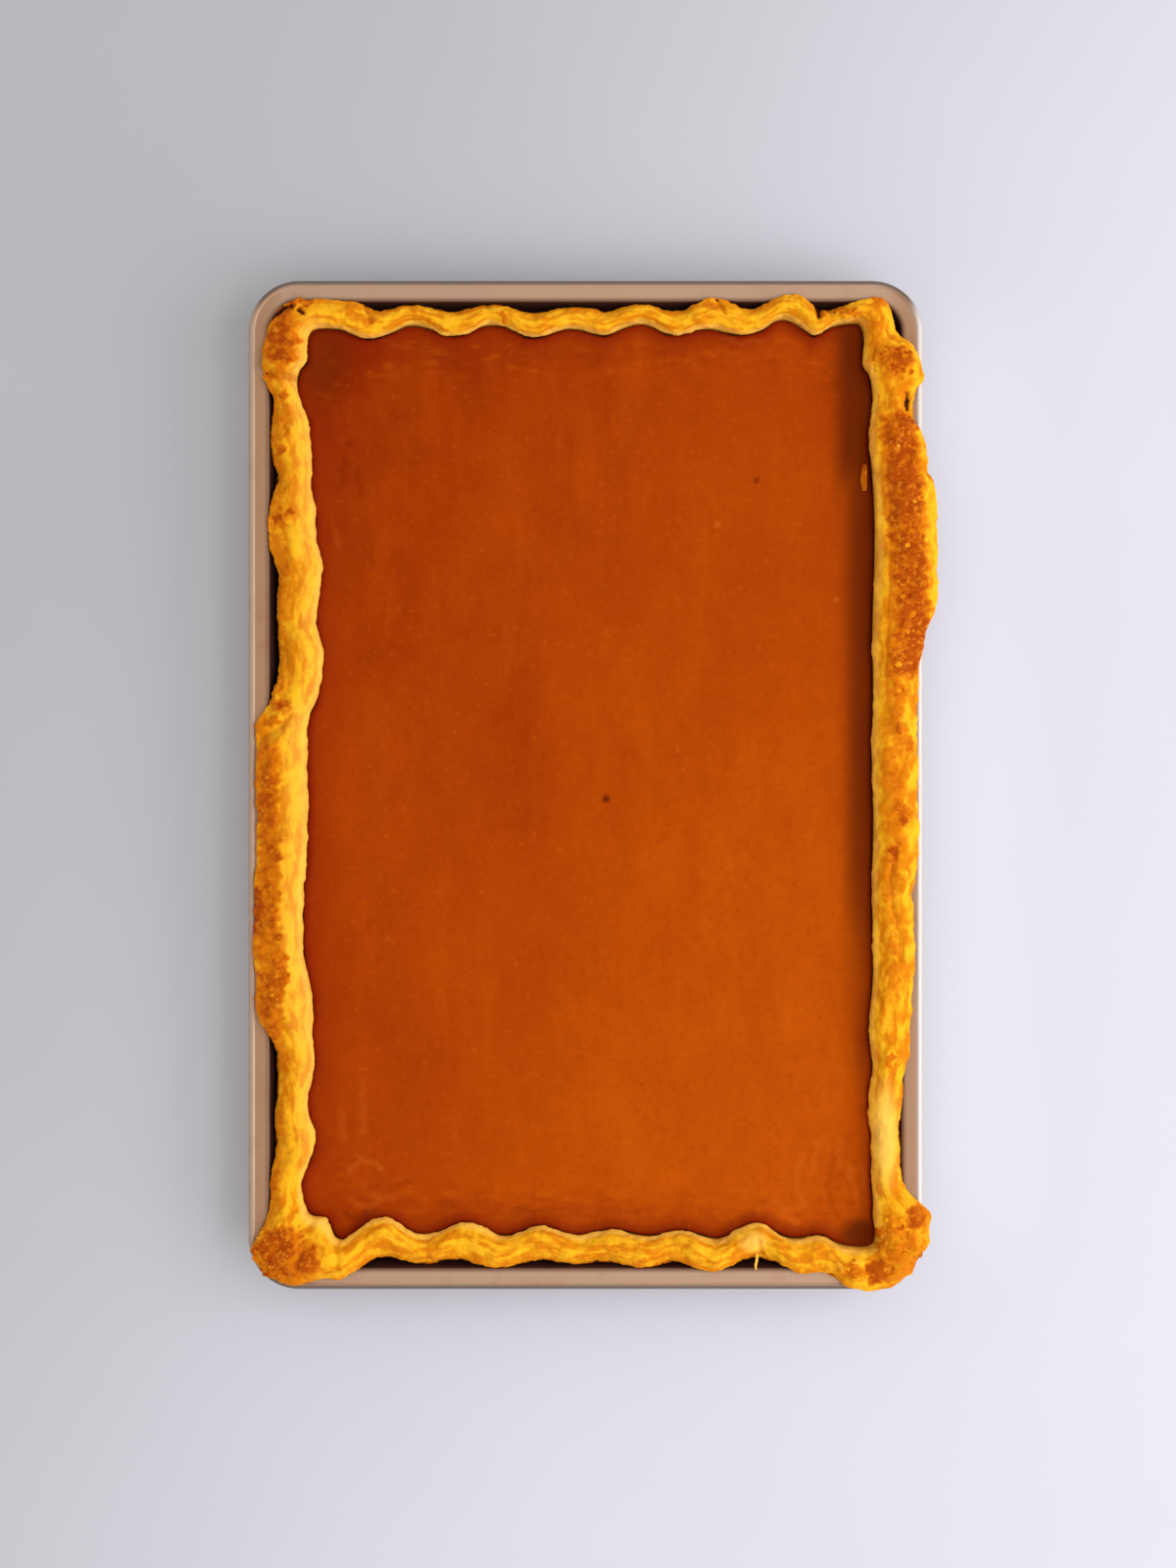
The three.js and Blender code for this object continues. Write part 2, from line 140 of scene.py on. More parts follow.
def write_attributes(piece, **layers):
    """Keeps a number on each point under each name, which a material can read."""
    for name, values in layers.items():
        values = np.broadcast_to(values, len(piece.data.vertices)).astype(np.float32)
        layer = piece.data.attributes.get(name) or piece.data.attributes.new(name, "FLOAT", "POINT")
        layer.data.foreach_set("value", values)


def set_group(piece, name, weights):
    """A vertex group whose weights say where a modifier acts."""
    group = piece.vertex_groups.get(name) or piece.vertex_groups.new(name=name)
    levels = np.round(np.clip(weights, 0, 1) * 16).astype(int)
    for level in range(17):
        chosen = np.flatnonzero(levels == level).tolist()
        if chosen:
            group.add(chosen, level / 16, "REPLACE")


def thin_out(piece, hidden, ratio):
    """Thins a piece with the Decimate modifier, where it is hidden."""
    set_group(piece, "hidden", hidden)
    apply_modifier(piece, "DECIMATE", ratio=ratio, vertex_group="hidden", vertex_group_factor=1.0)
    piece.vertex_groups.clear()


def triangles(piece):
    return sum(len(face.vertices) - 2 for face in piece.data.polygons)


def merged_copy(node, name):
    """A copy of a measured part with its loose triangles merged into one skin."""
    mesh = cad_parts[node].data.copy()
    mesh.name = name
    mesh.materials.clear()
    piece = bpy.data.objects.new(name, mesh)
    bpy.context.scene.collection.objects.link(piece)
    start_edit(piece, action="SELECT")
    bpy.ops.mesh.remove_doubles(threshold=0.01 * MM)
    end_edit()
    if piece.data.has_custom_normals:
        bpy.ops.mesh.customdata_custom_splitnormals_clear()
    return piece


# %% [markdown]
# ## Finishes as arithmetic
#
# A material in Blender is a web of nodes. Wiring each node by hand gives long listings, so one
# small class wraps a node's output and lets Python's own signs add the Math nodes: `1 - mask`
# makes a Subtract node. Every other kind of node comes from the one method `node`.


# %% A socket with arithmetic, and a maker of nodes
class Value:
    """The output of a node, which Python's signs work on."""

    def __init__(self, finish, socket):
        self.finish, self.socket = finish, socket

    def _math(self, operation, *values):
        return self.finish.node("Math", {"operation": operation}, dict(enumerate(values)))

    def __add__(self, other):
        return self._math("ADD", self, other)

    def __sub__(self, other):
        return self._math("SUBTRACT", self, other)

    def __rsub__(self, other):
        return self._math("SUBTRACT", other, self)

    def __mul__(self, other):
        return self._math("MULTIPLY", self, other)

    __radd__, __rmul__ = __add__, __mul__

    def clamp(self):
        return self._math("MAXIMUM", self._math("MINIMUM", self, 1.0), 0.0)

    def step(self, low, high):
        """0 up to low, 1 from high on, and a smooth rise between them."""
        settings = {"interpolation_type": "SMOOTHSTEP"}
        return self.finish.node("MapRange", settings, {0: self, 1: low, 2: high, 3: 0.0, 4: 1.0})


class Finish:
    """A material whose nodes are made one by one by the method node."""

    def __init__(self, name, **uniform):
        self.material = bpy.data.materials.new(name)
        self.material.use_nodes = True
        self.tree = self.material.node_tree
        self.tree.nodes.clear()
        self.shader = self.tree.nodes.new("ShaderNodeBsdfPrincipled")
        output = self.tree.nodes.new("ShaderNodeOutputMaterial")
        self.tree.links.new(self.shader.outputs[0], output.inputs["Surface"])
        for socket, value in uniform.items():
            self.shader.inputs[socket.replace("_", " ")].default_value = value
        self.place = self.node("TexCoord", output="Object")

    def node(self, kind, settings=None, values=None, output=0):
        node = self.tree.nodes.new("ShaderNode" + kind)
        for key, value in (settings or {}).items():
            setattr(node, key, value)
        for key, value in (values or {}).items():
            if isinstance(value, Value):
                self.tree.links.new(value.socket, node.inputs[key])
            else:
                node.inputs[key].default_value = value
        return Value(self, node.outputs[output])

    def attribute(self, name):
        return self.node("Attribute", {"attribute_name": name}, output="Fac")

    def noise(self, size_mm, detail=2.0, roughness=0.5, stretch=None, shift=0.0):
        """Cloudy variation from 0 to 1 whose blots are about this many millimetres across."""
        place = self.place
        if stretch or shift:
            place = self.node("Mapping", None, {"Vector": place, "Scale": stretch or (1, 1, 1),
                                                "Location": (shift, shift * 0.7, shift * 0.3)})
        return self.node("TexNoise", None, {"Vector": place, "Scale": 1 / (size_mm * MM),
                                            "Detail": detail, "Roughness": roughness})

    def mix(self, factor, a, b):
        """Colour a where the factor is 0 and colour b where it is 1."""
        a, b = (each if isinstance(each, Value) else (*each, 1) for each in (a, b))
        return self.node("Mix", {"data_type": "RGBA"}, {0: factor, 6: a, 7: b}, output=2)

    def paint_over(self, colour, *coats):
        """Lays coats over a colour, each an amount from 0 to 1 and a colour of its own."""
        for amount, coat in coats:
            colour = self.mix(amount, colour, coat)
        return colour

    def bump(self, height, depth_mm, strength=1.0):
        """Low relief from a height of 0 to 1, where 1 is this many millimetres proud."""
        self.wire("Normal", self.node("Bump", None, {"Height": height, "Distance": depth_mm * MM,
                                                      "Strength": strength}))

    def wire(self, socket, value):
        self.tree.links.new(value.socket, self.shader.inputs[socket])

    def put_on(self, piece):
        piece.data.materials.clear()
        piece.data.materials.append(self.material)
        print(f"{self.material.name}: {len(self.tree.nodes)} nodes, on {piece.name}")


# %% [markdown]
# ## Where the light and the camera are
#
# The pie lies on a pale table and is seen from straight above, the way food is laid out for a
# tray bake. One big soft window stands on the right, so light rakes over the crimps, and the far
# side of the table falls into gentle shade. A large area light gives such soft shadows; its
# distance sets how fast the light fades across the table.

# %% Camera
FRAME_HEIGHT = 611.4 * MM  # what the long side of the frame takes in, at the height of the rim
RIM_HEIGHT = 25 * MM
LENS, SENSOR = 50.0, 36.0
AIM = Vector((0.96 * MM, 0.38 * MM, RIM_HEIGHT))

camera_data = bpy.data.cameras.new("camera")
camera_data.lens, camera_data.sensor_width = LENS, SENSOR
camera = bpy.data.objects.new("camera", camera_data)
distance = FRAME_HEIGHT * LENS / SENSOR
camera.location = AIM + Vector((0, 0, distance))
camera_data.clip_start, camera_data.clip_end = 0.01, 50
bpy.context.scene.collection.objects.link(camera)
bpy.context.scene.camera = camera
print(f"camera {distance * 100:.0f} cm above the rim")

# %% Lights and background
WINDOW_PLACE, WINDOW_SIZE, WINDOW_WATTS = Vector((1.15, -0.25, 1.0)), (1.9, 1.6), 21.5
DAYLIGHT = (1.0, 0.985, 0.96)
ROOM_COLOUR, ROOM_STRENGTH = (1.0, 0.965, 0.92, 1), 0.71
light = bpy.data.lights.new("window", "AREA")
light.shape, (light.size, light.size_y) = "RECTANGLE", WINDOW_SIZE
light.energy, light.color = WINDOW_WATTS, DAYLIGHT
window = bpy.data.objects.new("window", light)
window.location = WINDOW_PLACE
window.rotation_euler = (-WINDOW_PLACE).to_track_quat("-Z", "Y").to_euler()  # towards the pie
bpy.context.scene.collection.objects.link(window)
world = bpy.data.worlds.new("room")
world.use_nodes = True
background = world.node_tree.nodes["Background"]
background.inputs["Color"].default_value = ROOM_COLOUR
background.inputs["Strength"].default_value = ROOM_STRENGTH
bpy.context.scene.world = world
bpy.context.scene.view_settings.view_transform = "Standard"
print(f"one window of {WINDOW_SIZE[0]} x {WINDOW_SIZE[1]} m")

# %% [markdown]
# ## The table
#
# A plain pale table top. A plane is enough, since nothing of its thickness is ever seen. It is
# marked as stage, so it isn't counted as part of the pie. Faint clouds keep it from looking like
# paper. Its colour holds painted shade, greyer on the side away from the window, and painted light,
# paler close to the pan's long sides, standing for light that the pan throws back on it.


# %% Table top
def add_plane(name, width, length, height=0.0):
    """Adds a plane and stays in edit mode with all of it selected. Its measures are in metres."""
    bpy.ops.object.select_all(action="DESELECT")
    bpy.ops.mesh.primitive_plane_add(size=1, location=(0, 0, 0))
    plane = bpy.context.object
    plane.name = name
    start_edit(plane, action="SELECT")
    bpy.ops.transform.resize(value=(width, length, 1))
    bpy.ops.transform.translate(value=(0, 0, height))
    return plane


TABLE_SIDE = 4.0
TABLE_DROP = 0.2 * MM  # it lies a hair below the pan, so that no two faces share a place
table = add_plane("table_top", TABLE_SIDE, TABLE_SIDE, -TABLE_DROP)
end_edit()
print(f"table {TABLE_SIDE} m wide")

# %% Table finish
# Painted shade on the side away from the window and painted light towards it, mixed by near_window.
SHADED, SHADED_CLOUD = (0.465, 0.475, 0.52), (0.49, 0.50, 0.545)
BRIGHT, BRIGHT_CLOUD = (0.655, 0.66, 0.765), (0.68, 0.685, 0.79)
PALE_LEFT, PALE_RIGHT = (0.72, 0.73, 0.76), (0.76, 0.77, 0.885)
table_finish = Finish("pale_table", Roughness=0.55, Specular_IOR_Level=0.3)
cloud = table_finish.noise(90, detail=3.0)
right, back = (table_finish.node("SeparateXYZ", None, {"Vector": table_finish.place}, output=axis)
               for axis in "XY")
near_window = (right - back * 0.5).step(-0.30, 0.16)
alongside = 1 - (back * back).step(0.020, 0.046)
# Painted light beside the pan's long sides, which keeps the pan's shadow on the table faint.
beside_left = alongside * right.step(-0.165, -0.132) * (1 - right.step(-0.126, -0.11))
beside_right = alongside * (1 - right.step(0.14, 0.20)) * right.step(0.11, 0.126)
table_finish.wire("Base Color", table_finish.paint_over(
    table_finish.mix(cloud, SHADED, SHADED_CLOUD),
    (near_window, table_finish.mix(cloud, BRIGHT, BRIGHT_CLOUD)),
    (beside_left * 0.9, PALE_LEFT),
    (beside_right * 0.8, PALE_RIGHT)))
table_finish.put_on(table)
table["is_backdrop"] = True

# %% [markdown]
# ## The pan
#
# The real pan is pressed from one sheet of metal: a flat floor, slanted walls, a narrow flat lip,
# and an edge rolled round a wire so that it is stiff and doesn't cut. It could be spun or lofted,
# but a press is easiest to imitate: start with the flat outline, then step inwards and down.
#
# 1. A plane is added, and its four corners are rounded with a vertex bevel.
# 2. The face is inset by the width of the lip.
# 3. It is extruded down and shrunk a little, which leaves the slanted walls.
# 4. The edges at the rim and round the floor are bevelled, and Solidify gives the sheet its
#    thickness.

# %% Sizes of the pan
OPENING = Vector((246.6, 377.0)) * MM  # inside the rim
SHEET = 1.0 * MM
LIP_TOP = 24.6 * MM
CORNER_RADIUS = 11.5 * MM  # at the rim's inside edge
BEAD_RADIUS = 1.7 * MM
TO_BEAD = 5.0 * MM + BEAD_RADIUS  # from the rim's inside edge to the middle of the rolled edge
WALL_LEAN = math.radians(15)
FLOOR_BEND, RIM_BEND = 6 * MM, 1.1 * MM
CORNER_STEPS = 14
HAIR = 0.1 * MM  # how far a point may be from a place and still count as there
print(f"pan {RIM_HEIGHT / MM:.0f} mm deep, of {SHEET / MM:.0f} mm sheet")


# %% Outline with rounded corners
def rounded_plate(name, size, radius, height):
    """A flat face with rounded corners at a height."""
    plate = add_plane(name, size[0], size[1], height)
    bpy.ops.mesh.bevel(offset=radius, segments=CORNER_STEPS, affect="VERTICES")
    end_edit()
    return plate


outline = OPENING + Vector((2, 2)) * TO_BEAD
pan = rounded_plate("baking_pan", outline, CORNER_RADIUS + TO_BEAD, LIP_TOP)
print(f"pan outline {outline.x / MM:.1f} x {outline.y / MM:.1f} mm")

# %% Lip, walls and floor
wall_run = (LIP_TOP - SHEET) * math.tan(WALL_LEAN)
start_edit(pan, "FACE", "SELECT")
bpy.ops.mesh.inset(thickness=TO_BEAD, depth=0)
bpy.ops.mesh.extrude_region_move(TRANSFORM_OT_translate={"value": (0, 0, SHEET - LIP_TOP)})
bpy.ops.transform.resize(value=(1 - 2 * wall_run / OPENING.x, 1 - 2 * wall_run / OPENING.y, 1))
bpy.ops.mesh.select_mode(type="EDGE")


def is_floor_edge(edge):
    return all(v.co.z < SHEET + HAIR for v in edge.verts)


def is_rim_edge(edge):
    return all(v.co.z > LIP_TOP - HAIR and abs(v.co.x) < OPENING.x / 2 + HAIR
               and abs(v.co.y) < OPENING.y / 2 + HAIR for v in edge.verts)


bend_setback = FLOOR_BEND * math.tan((math.pi / 2 - WALL_LEAN) / 2)
select_by(pan, "edges", is_floor_edge)
bpy.ops.mesh.bevel(offset=bend_setback, segments=6, affect="EDGES")
select_by(pan, "edges", is_rim_edge)
bpy.ops.mesh.bevel(offset=RIM_BEND, segments=4, affect="EDGES")
end_edit()
apply_modifier(pan, "SOLIDIFY", thickness=SHEET, offset=-1, use_even_offset=True)
print(f"pan sheet: {triangles(pan)} triangles")

# %% [markdown]
# The rolled edge is modelled apart, as a round tube on the same outline: an outline of edges is
# turned into a curve, the curve is given a round thickness, and it becomes a mesh again. It is
# then joined to the sheet, whose lip runs into it.

# %% Rolled edge
bead = rounded_plate("rolled_edge", outline, CORNER_RADIUS + TO_BEAD, RIM_HEIGHT - BEAD_RADIUS)
start_edit(bead, "FACE", "SELECT")
bpy.ops.mesh.delete(type="ONLY_FACE")
end_edit()
pick_only(bead)
bpy.ops.object.convert(target="CURVE")
bead.data.bevel_depth = BEAD_RADIUS
bead.data.bevel_resolution = 4
bpy.ops.object.convert(target="MESH")
bead.select_set(True)
pan.select_set(True)
bpy.context.view_layer.objects.active = pan
bpy.ops.object.join()
face_outwards(pan)
bpy.ops.object.shade_smooth_by_angle(angle=math.radians(32))
print(f"pan with its rolled edge: {triangles(pan)} triangles")

# %% [markdown]
# ### Champagne-coloured coating
#
# The pan's coat is a satin paint with fine metal flake, so it is a mix of paint and metal: warm
# beige, a little metallic, and neither shiny nor dull. Years of baking have changed it. The inner
# walls and the lip's inside edge are almost black, partly from burnt-on fat and juice and partly
# as painted shade down in the gap beside the crust. The lip along the long sides is darkened by
# stains and by painted shade, and their rolled edge is painted pale as a painted reflection of the
# window, strongest on the right. At the short ends that edge carries painted shade where it curls
# down. Amounts kept on the pan's points say where. The lip has no points between its two edges,
# so one amount is the distance from the rim, and the finish draws its lines with that.

# %% Addresses on the pan and the crust
HALF_X, HALF_Y = OPENING.x / MM / 2, OPENING.y / MM / 2


def inset_of(points):
    """How far each point lies inside the rim's inside edge, in millimetres. Outside is negative."""
    radius = CORNER_RADIUS / MM
    q = np.abs(points[:, :2]) - (HALF_X - radius, HALF_Y - radius)
    outside = np.hypot(*np.maximum(q, 0).T)
    return radius - outside - np.minimum(q.max(1), 0)


def between(x, low, high):
    """0 up to low, 1 from high on, smooth between them."""
    t = np.clip((x - low) / (high - low), 0, 1)
    return t * t * (3 - 2 * t)


def within(x, low, full, until, gone):
    """0 up to low, 1 from full until the third place, 0 again once gone, smooth between them."""
    return between(x, low, full) * (1 - between(x, until, gone))


# %% Burnt, stained and worn places on the pan
points, normals = read_points(pan), read_points(pan, "normal")
inset = inset_of(points)
looks_in = (normals[:, :2] * -points[:, :2]).sum(1) + 60 * normals[:, 2] > 0  # or looks up
burnt = looks_in & (inset > -0.3) & (points[:, 2] < 24.2)  # below the lip's flat top
at_left, at_right = (between(side * points[:, 0], 125, 130.5) for side in (-1, 1))
# Amounts for the finish: burnt-on fat with painted shade in the gap, stains with painted shade
# along the long sides, a painted reflection on their rolled edge, and painted shade where the
# rolled edge curls down elsewhere.
write_attributes(pan, burnt=burnt, off_rim=-inset,
                 stained=between(np.abs(points[:, 0]), 117, 123),
                 worn=np.maximum(at_right, 0.3 * at_left),
                 scuffed=1 - np.maximum(at_left, at_right))
print(f"{int(burnt.sum())} points of the pan are burnt")

# %% Pan finish
COAT, COAT_FLAKE = (0.45, 0.275, 0.18), (0.53, 0.34, 0.23)
# Stains with painted shade, a painted reflection of the window, and painted shade under the curl.
STAIN, WORN, SCUFF = (0.37, 0.19, 0.09), (0.66, 0.58, 0.55), (0.12, 0.09, 0.08)
# Burnt-on fat with painted shade in the gap beside the crust.
BURNT_LIP, BURNT_WALL = (0.10, 0.03, 0.01), (0.045, 0.009, 0.004)
coating = Finish("champagne_coating", Metallic=0.35, Coat_Weight=0.15, Coat_Roughness=0.25)
grain = coating.noise(0.7, detail=3.0, roughness=0.6)
stain = coating.noise(16, detail=4.0, roughness=0.6).step(0.52, 0.75)
smudge = coating.noise(45, detail=2.0)
burnt_here = coating.attribute("burnt")
off_rim = coating.attribute("off_rim")  # millimetres outwards from the rim's inside edge
# Stains, and painted shade on the lip of the long sides.
stained = (stain * 0.35 + coating.attribute("stained") * 0.7).clamp()
# Painted reflection of the window on the rolled edge of the long sides, strongest on the right.
worn = coating.attribute("worn") * off_rim.step(5.2, 6.4)
# Painted shade where the rolled edge curls down, except along the long sides.
scuffed = coating.attribute("scuffed") * off_rim.step(5.8, 7.2) * 0.85
coating.wire("Base Color", coating.paint_over(
    coating.mix(grain, COAT, COAT_FLAKE),
    (stained, STAIN),
    (worn, WORN),
    (scuffed, SCUFF),
    # burnt-on fat and painted shade at the lip's inside edge and down the inner walls
    ((1 - off_rim.step(0.2, 2.2)) * 0.8, BURNT_LIP),
    (burnt_here.step(0.1, 0.75), BURNT_WALL)))
coating.wire("Roughness", smudge * 0.14 + grain * 0.08 + stain * 0.08 + burnt_here * 0.3 + 0.30)
coating.bump(grain, 0.03, 0.4)
coating.put_on(pan)
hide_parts("pan")
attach(pan, "root")

# %% [markdown]
# ## The crust
#
# The crust is one sheet of dough pressed into the pan, with its edge rolled up and pushed in and
# out between the fingers. Its measured solid already has each crimp in its place, but with flat
# facets. So the piece starts as a copy of that solid and is worked like clay: its triangles are
# joined back into the rows of squares that they came from, subdivision rounds it, and then folds,
# cracks and blisters are pushed in.
#
# To put things on the crust, each point gets two addresses: how far round the pan it lies, and
# how far across the border, from 0 at the outer edge to 1 at the inner one.

# %% The way round the pan
TURN = 30.0  # the span of a corner, in millimetres


def distance_round(points):
    """The distance clockwise round the pan from the far side's left end, in millimetres."""
    x, y = points[:, 0], points[:, 1]
    result = np.zeros(len(points))
    start = 0.0
    for out_x, out_y, half_length, reach in ((0, 1, HALF_X, HALF_Y), (1, 0, HALF_Y, HALF_X),
                                             (0, -1, HALF_X, HALF_Y), (-1, 0, HALF_Y, HALF_X)):
        half = half_length - TURN
        outward = x * out_x + y * out_y - (reach - TURN)
        forward = x * out_y - y * out_x
        on_side = (outward > 0) & (np.abs(forward) <= half)
        result[on_side] = start + half + forward[on_side]
        in_corner = (outward >= 0) & (forward > half)
        angle = np.arctan2(forward - half, outward)
        result[in_corner] = start + 2 * half + TURN * angle[in_corner]
        start += 2 * half + math.pi / 2 * TURN
    return result


crust = merged_copy("crust", "pastry_crust")
print(f"crust: {len(crust.data.vertices)} points before it is worked")


# %% Rows of squares
def find_rows(piece):
    """The row of each vertex, counted from the underside up the outside and back down the inside
    along one cross-section at a time, with -1 for the two middles, and its distance round."""
    points = read_points(piece)
    rounds = np.round(distance_round(points), 2)
    middle = np.hypot(points[:, 0], points[:, 1]) < 1
    neighbours = [[] for _ in points]
    for edge in piece.data.edges:
        a, b = edge.vertices
        neighbours[a].append(b)
        neighbours[b].append(a)
    bottom = min(np.flatnonzero(middle), key=lambda i: points[i, 2])
    rows = np.full(len(points), -1)
    for first in neighbours[bottom]:
        here, row = first, 0
        while here is not None:
            rows[here] = row
            ahead = [i for i in neighbours[here]
                     if rows[i] < 0 and not middle[i] and abs(rounds[i] - rounds[here]) < 0.05]
            here, row = (ahead[0] if ahead else None), row + 1
    return rows, rounds


rows, rounds = find_rows(crust)
write_attributes(crust, row=rows)


def is_diagonal(edge):
    a, b = (v.index for v in edge.verts)
    return min(rows[a], rows[b]) >= 0 and rows[a] != rows[b] and abs(rounds[a] - rounds[b]) > 0.05


start_edit(crust, "EDGE")
count = select_by(crust, "edges", is_diagonal)
bpy.ops.mesh.dissolve_edges(use_verts=False)
select_by(crust, "verts", lambda v: rows[v.index] < 0)
bpy.ops.mesh.delete(type="VERT")
end_edit()
print(f"crust: {rows.max() + 1} rows, {count} diagonals out, {len(crust.data.polygons)} squares")

# %% [markdown]
# Subdivision Surface then rounds the rows, as a finger would, and carries the row numbers to the
# new points, so that each point still knows how far across the border it lies. The flat middles
# of the underside and of the base were left open, since hundreds of edges that meet in one point
# round badly; a face closes each of them afterwards.

# %% Rounding
BASE_MIDDLE = 3.5 * MM  # between the underside of the base and its top
apply_modifier(crust, "SUBSURF", levels=2, render_levels=2)
start_edit(crust, "EDGE")
for under in (True, False):
    select_by(crust, "edges",
              lambda edge: edge.is_boundary and (edge.verts[0].co.z < BASE_MIDDLE) == under)
    bpy.ops.mesh.edge_face_add()
end_edit()
face_outwards(crust)

# How far across the border each row lies, from the underside round to the base inside
ROW_ACROSS = [-1.4, -1.2, -1.0, -0.75, -0.5, -0.25, 0, 0.1, 0.3, 0.54, 0.77, 0.93, 1.0, 1.2,
              1.6, 2.0]


def read_rows(piece):
    """The row of each point, which has a fraction between the rows of the solid."""
    values = np.zeros(len(piece.data.vertices), np.float32)
    piece.data.attributes["row"].data.foreach_get("value", values)
    return values


def places_across(piece):
    """How far across the border each point lies."""
    return np.interp(read_rows(piece), range(len(ROW_ACROSS)), ROW_ACROSS)


across = places_across(crust)
on_border = int((abs(across - 0.5) < 0.5).sum())
print(f"crust: {triangles(crust)} triangles, {on_border} points on the border")

# %% [markdown]
# Most of those points lie where nobody sees them, on the underside and behind the custard, while
# the border could do with more of them. So Decimate thins the hidden part, and the border's
# lengthwise edges are cut in two once more. The helpers for relief follow. Each gives every point
# an amount from 0 to 1, as a soft brush would.

# %% More points where they show
thin_out(crust, 1 - between(across, -0.9, -0.6) + between(across, 1.25, 1.5), 0.66)
across, row_values = places_across(crust), read_rows(crust)


def runs_along_border(edge):
    ends = [v.index for v in edge.verts]
    return all(-0.3 < across[end] < 1.1 for end in ends) and np.ptp(row_values[ends]) < 0.02


start_edit(crust, "EDGE")
count = select_by(crust, "edges", runs_along_border)
bpy.ops.mesh.subdivide(number_cuts=1)
end_edit()
across = places_across(crust)
crust.data.attributes.remove(crust.data.attributes["row"])
print(f"crust: {count} edges cut, {triangles(crust)} triangles")


# %% Small maths for relief
def blot(points, x, y, across_x, across_y, turn=0.0, firm=0.25):
    """1 in the middle of an oval and 0 at its edge, seen from above. Firm means a wide middle."""
    c, s = math.cos(math.radians(turn)), math.sin(math.radians(turn))
    dx, dy = points[:, 0] - x, points[:, 1] - y
    u, v = (c * dx + s * dy) / (across_x / 2), (c * dy - s * dx) / (across_y / 2)
    return 1 - between(np.hypot(u, v), firm, 1)


def stroke(points, path, width):
    """1 along a line drawn from above through the path's points, and 0 half a width away."""
    nearest = np.full(len(points), 1e9)
    xy = points[:, :2]
    for a, b in zip(np.array(path[:-1], float), np.array(path[1:], float)):
        t = np.clip((xy - a) @ (b - a) / ((b - a) @ (b - a)), 0, 1)
        nearest = np.minimum(nearest, np.hypot(*(xy - a - t[:, None] * (b - a)).T))
    return 1 - between(nearest, 0, width / 2)


SHARP_CORNERS = [(-104.5, 174, 10, -2.0, 2.4), (109.5, -175.5, 9, 2.4, -2.4)]  # x, y, reach, shift


def draw_out_corners(points, how_much):
    """Draws two of the custard's corners out, where the border turns more sharply than a curve."""
    for x, y, reach, shift_x, shift_y in SHARP_CORNERS:
        near = blot(points, x, y, 2 * reach, 2 * reach, firm=0.0) * how_much
        points[:, :2] += near[:, None] * (shift_x, shift_y)


def wander(points, reach):
    """The points moved sideways by a few waves, so that painted edges come out uneven."""
    x, y, moved = points[:, 0], points[:, 1], points.copy()
    moved[:, 0] += reach * (np.sin(0.83 * y + 0.4 * x) + 0.6 * np.sin(1.9 * y - 0.7 * x + 1)) / 1.6
    moved[:, 1] += reach * (np.sin(0.71 * x - 0.5 * y + 2) + 0.6 * np.sin(1.7 * x + 0.9 * y)) / 1.6
    return moved


def cloud_relief(piece, group, size_mm, depth_mm):
    """Pushes a group of points in and out by a cloud pattern, with the Displace modifier."""
    texture = bpy.data.textures.new("relief", "CLOUDS")
    texture.noise_scale = size_mm * MM
    apply_modifier(piece, "DISPLACE", texture=texture, strength=depth_mm * MM, mid_level=0.5,
                   texture_coords="LOCAL", vertex_group=group)
    bpy.data.textures.remove(texture)
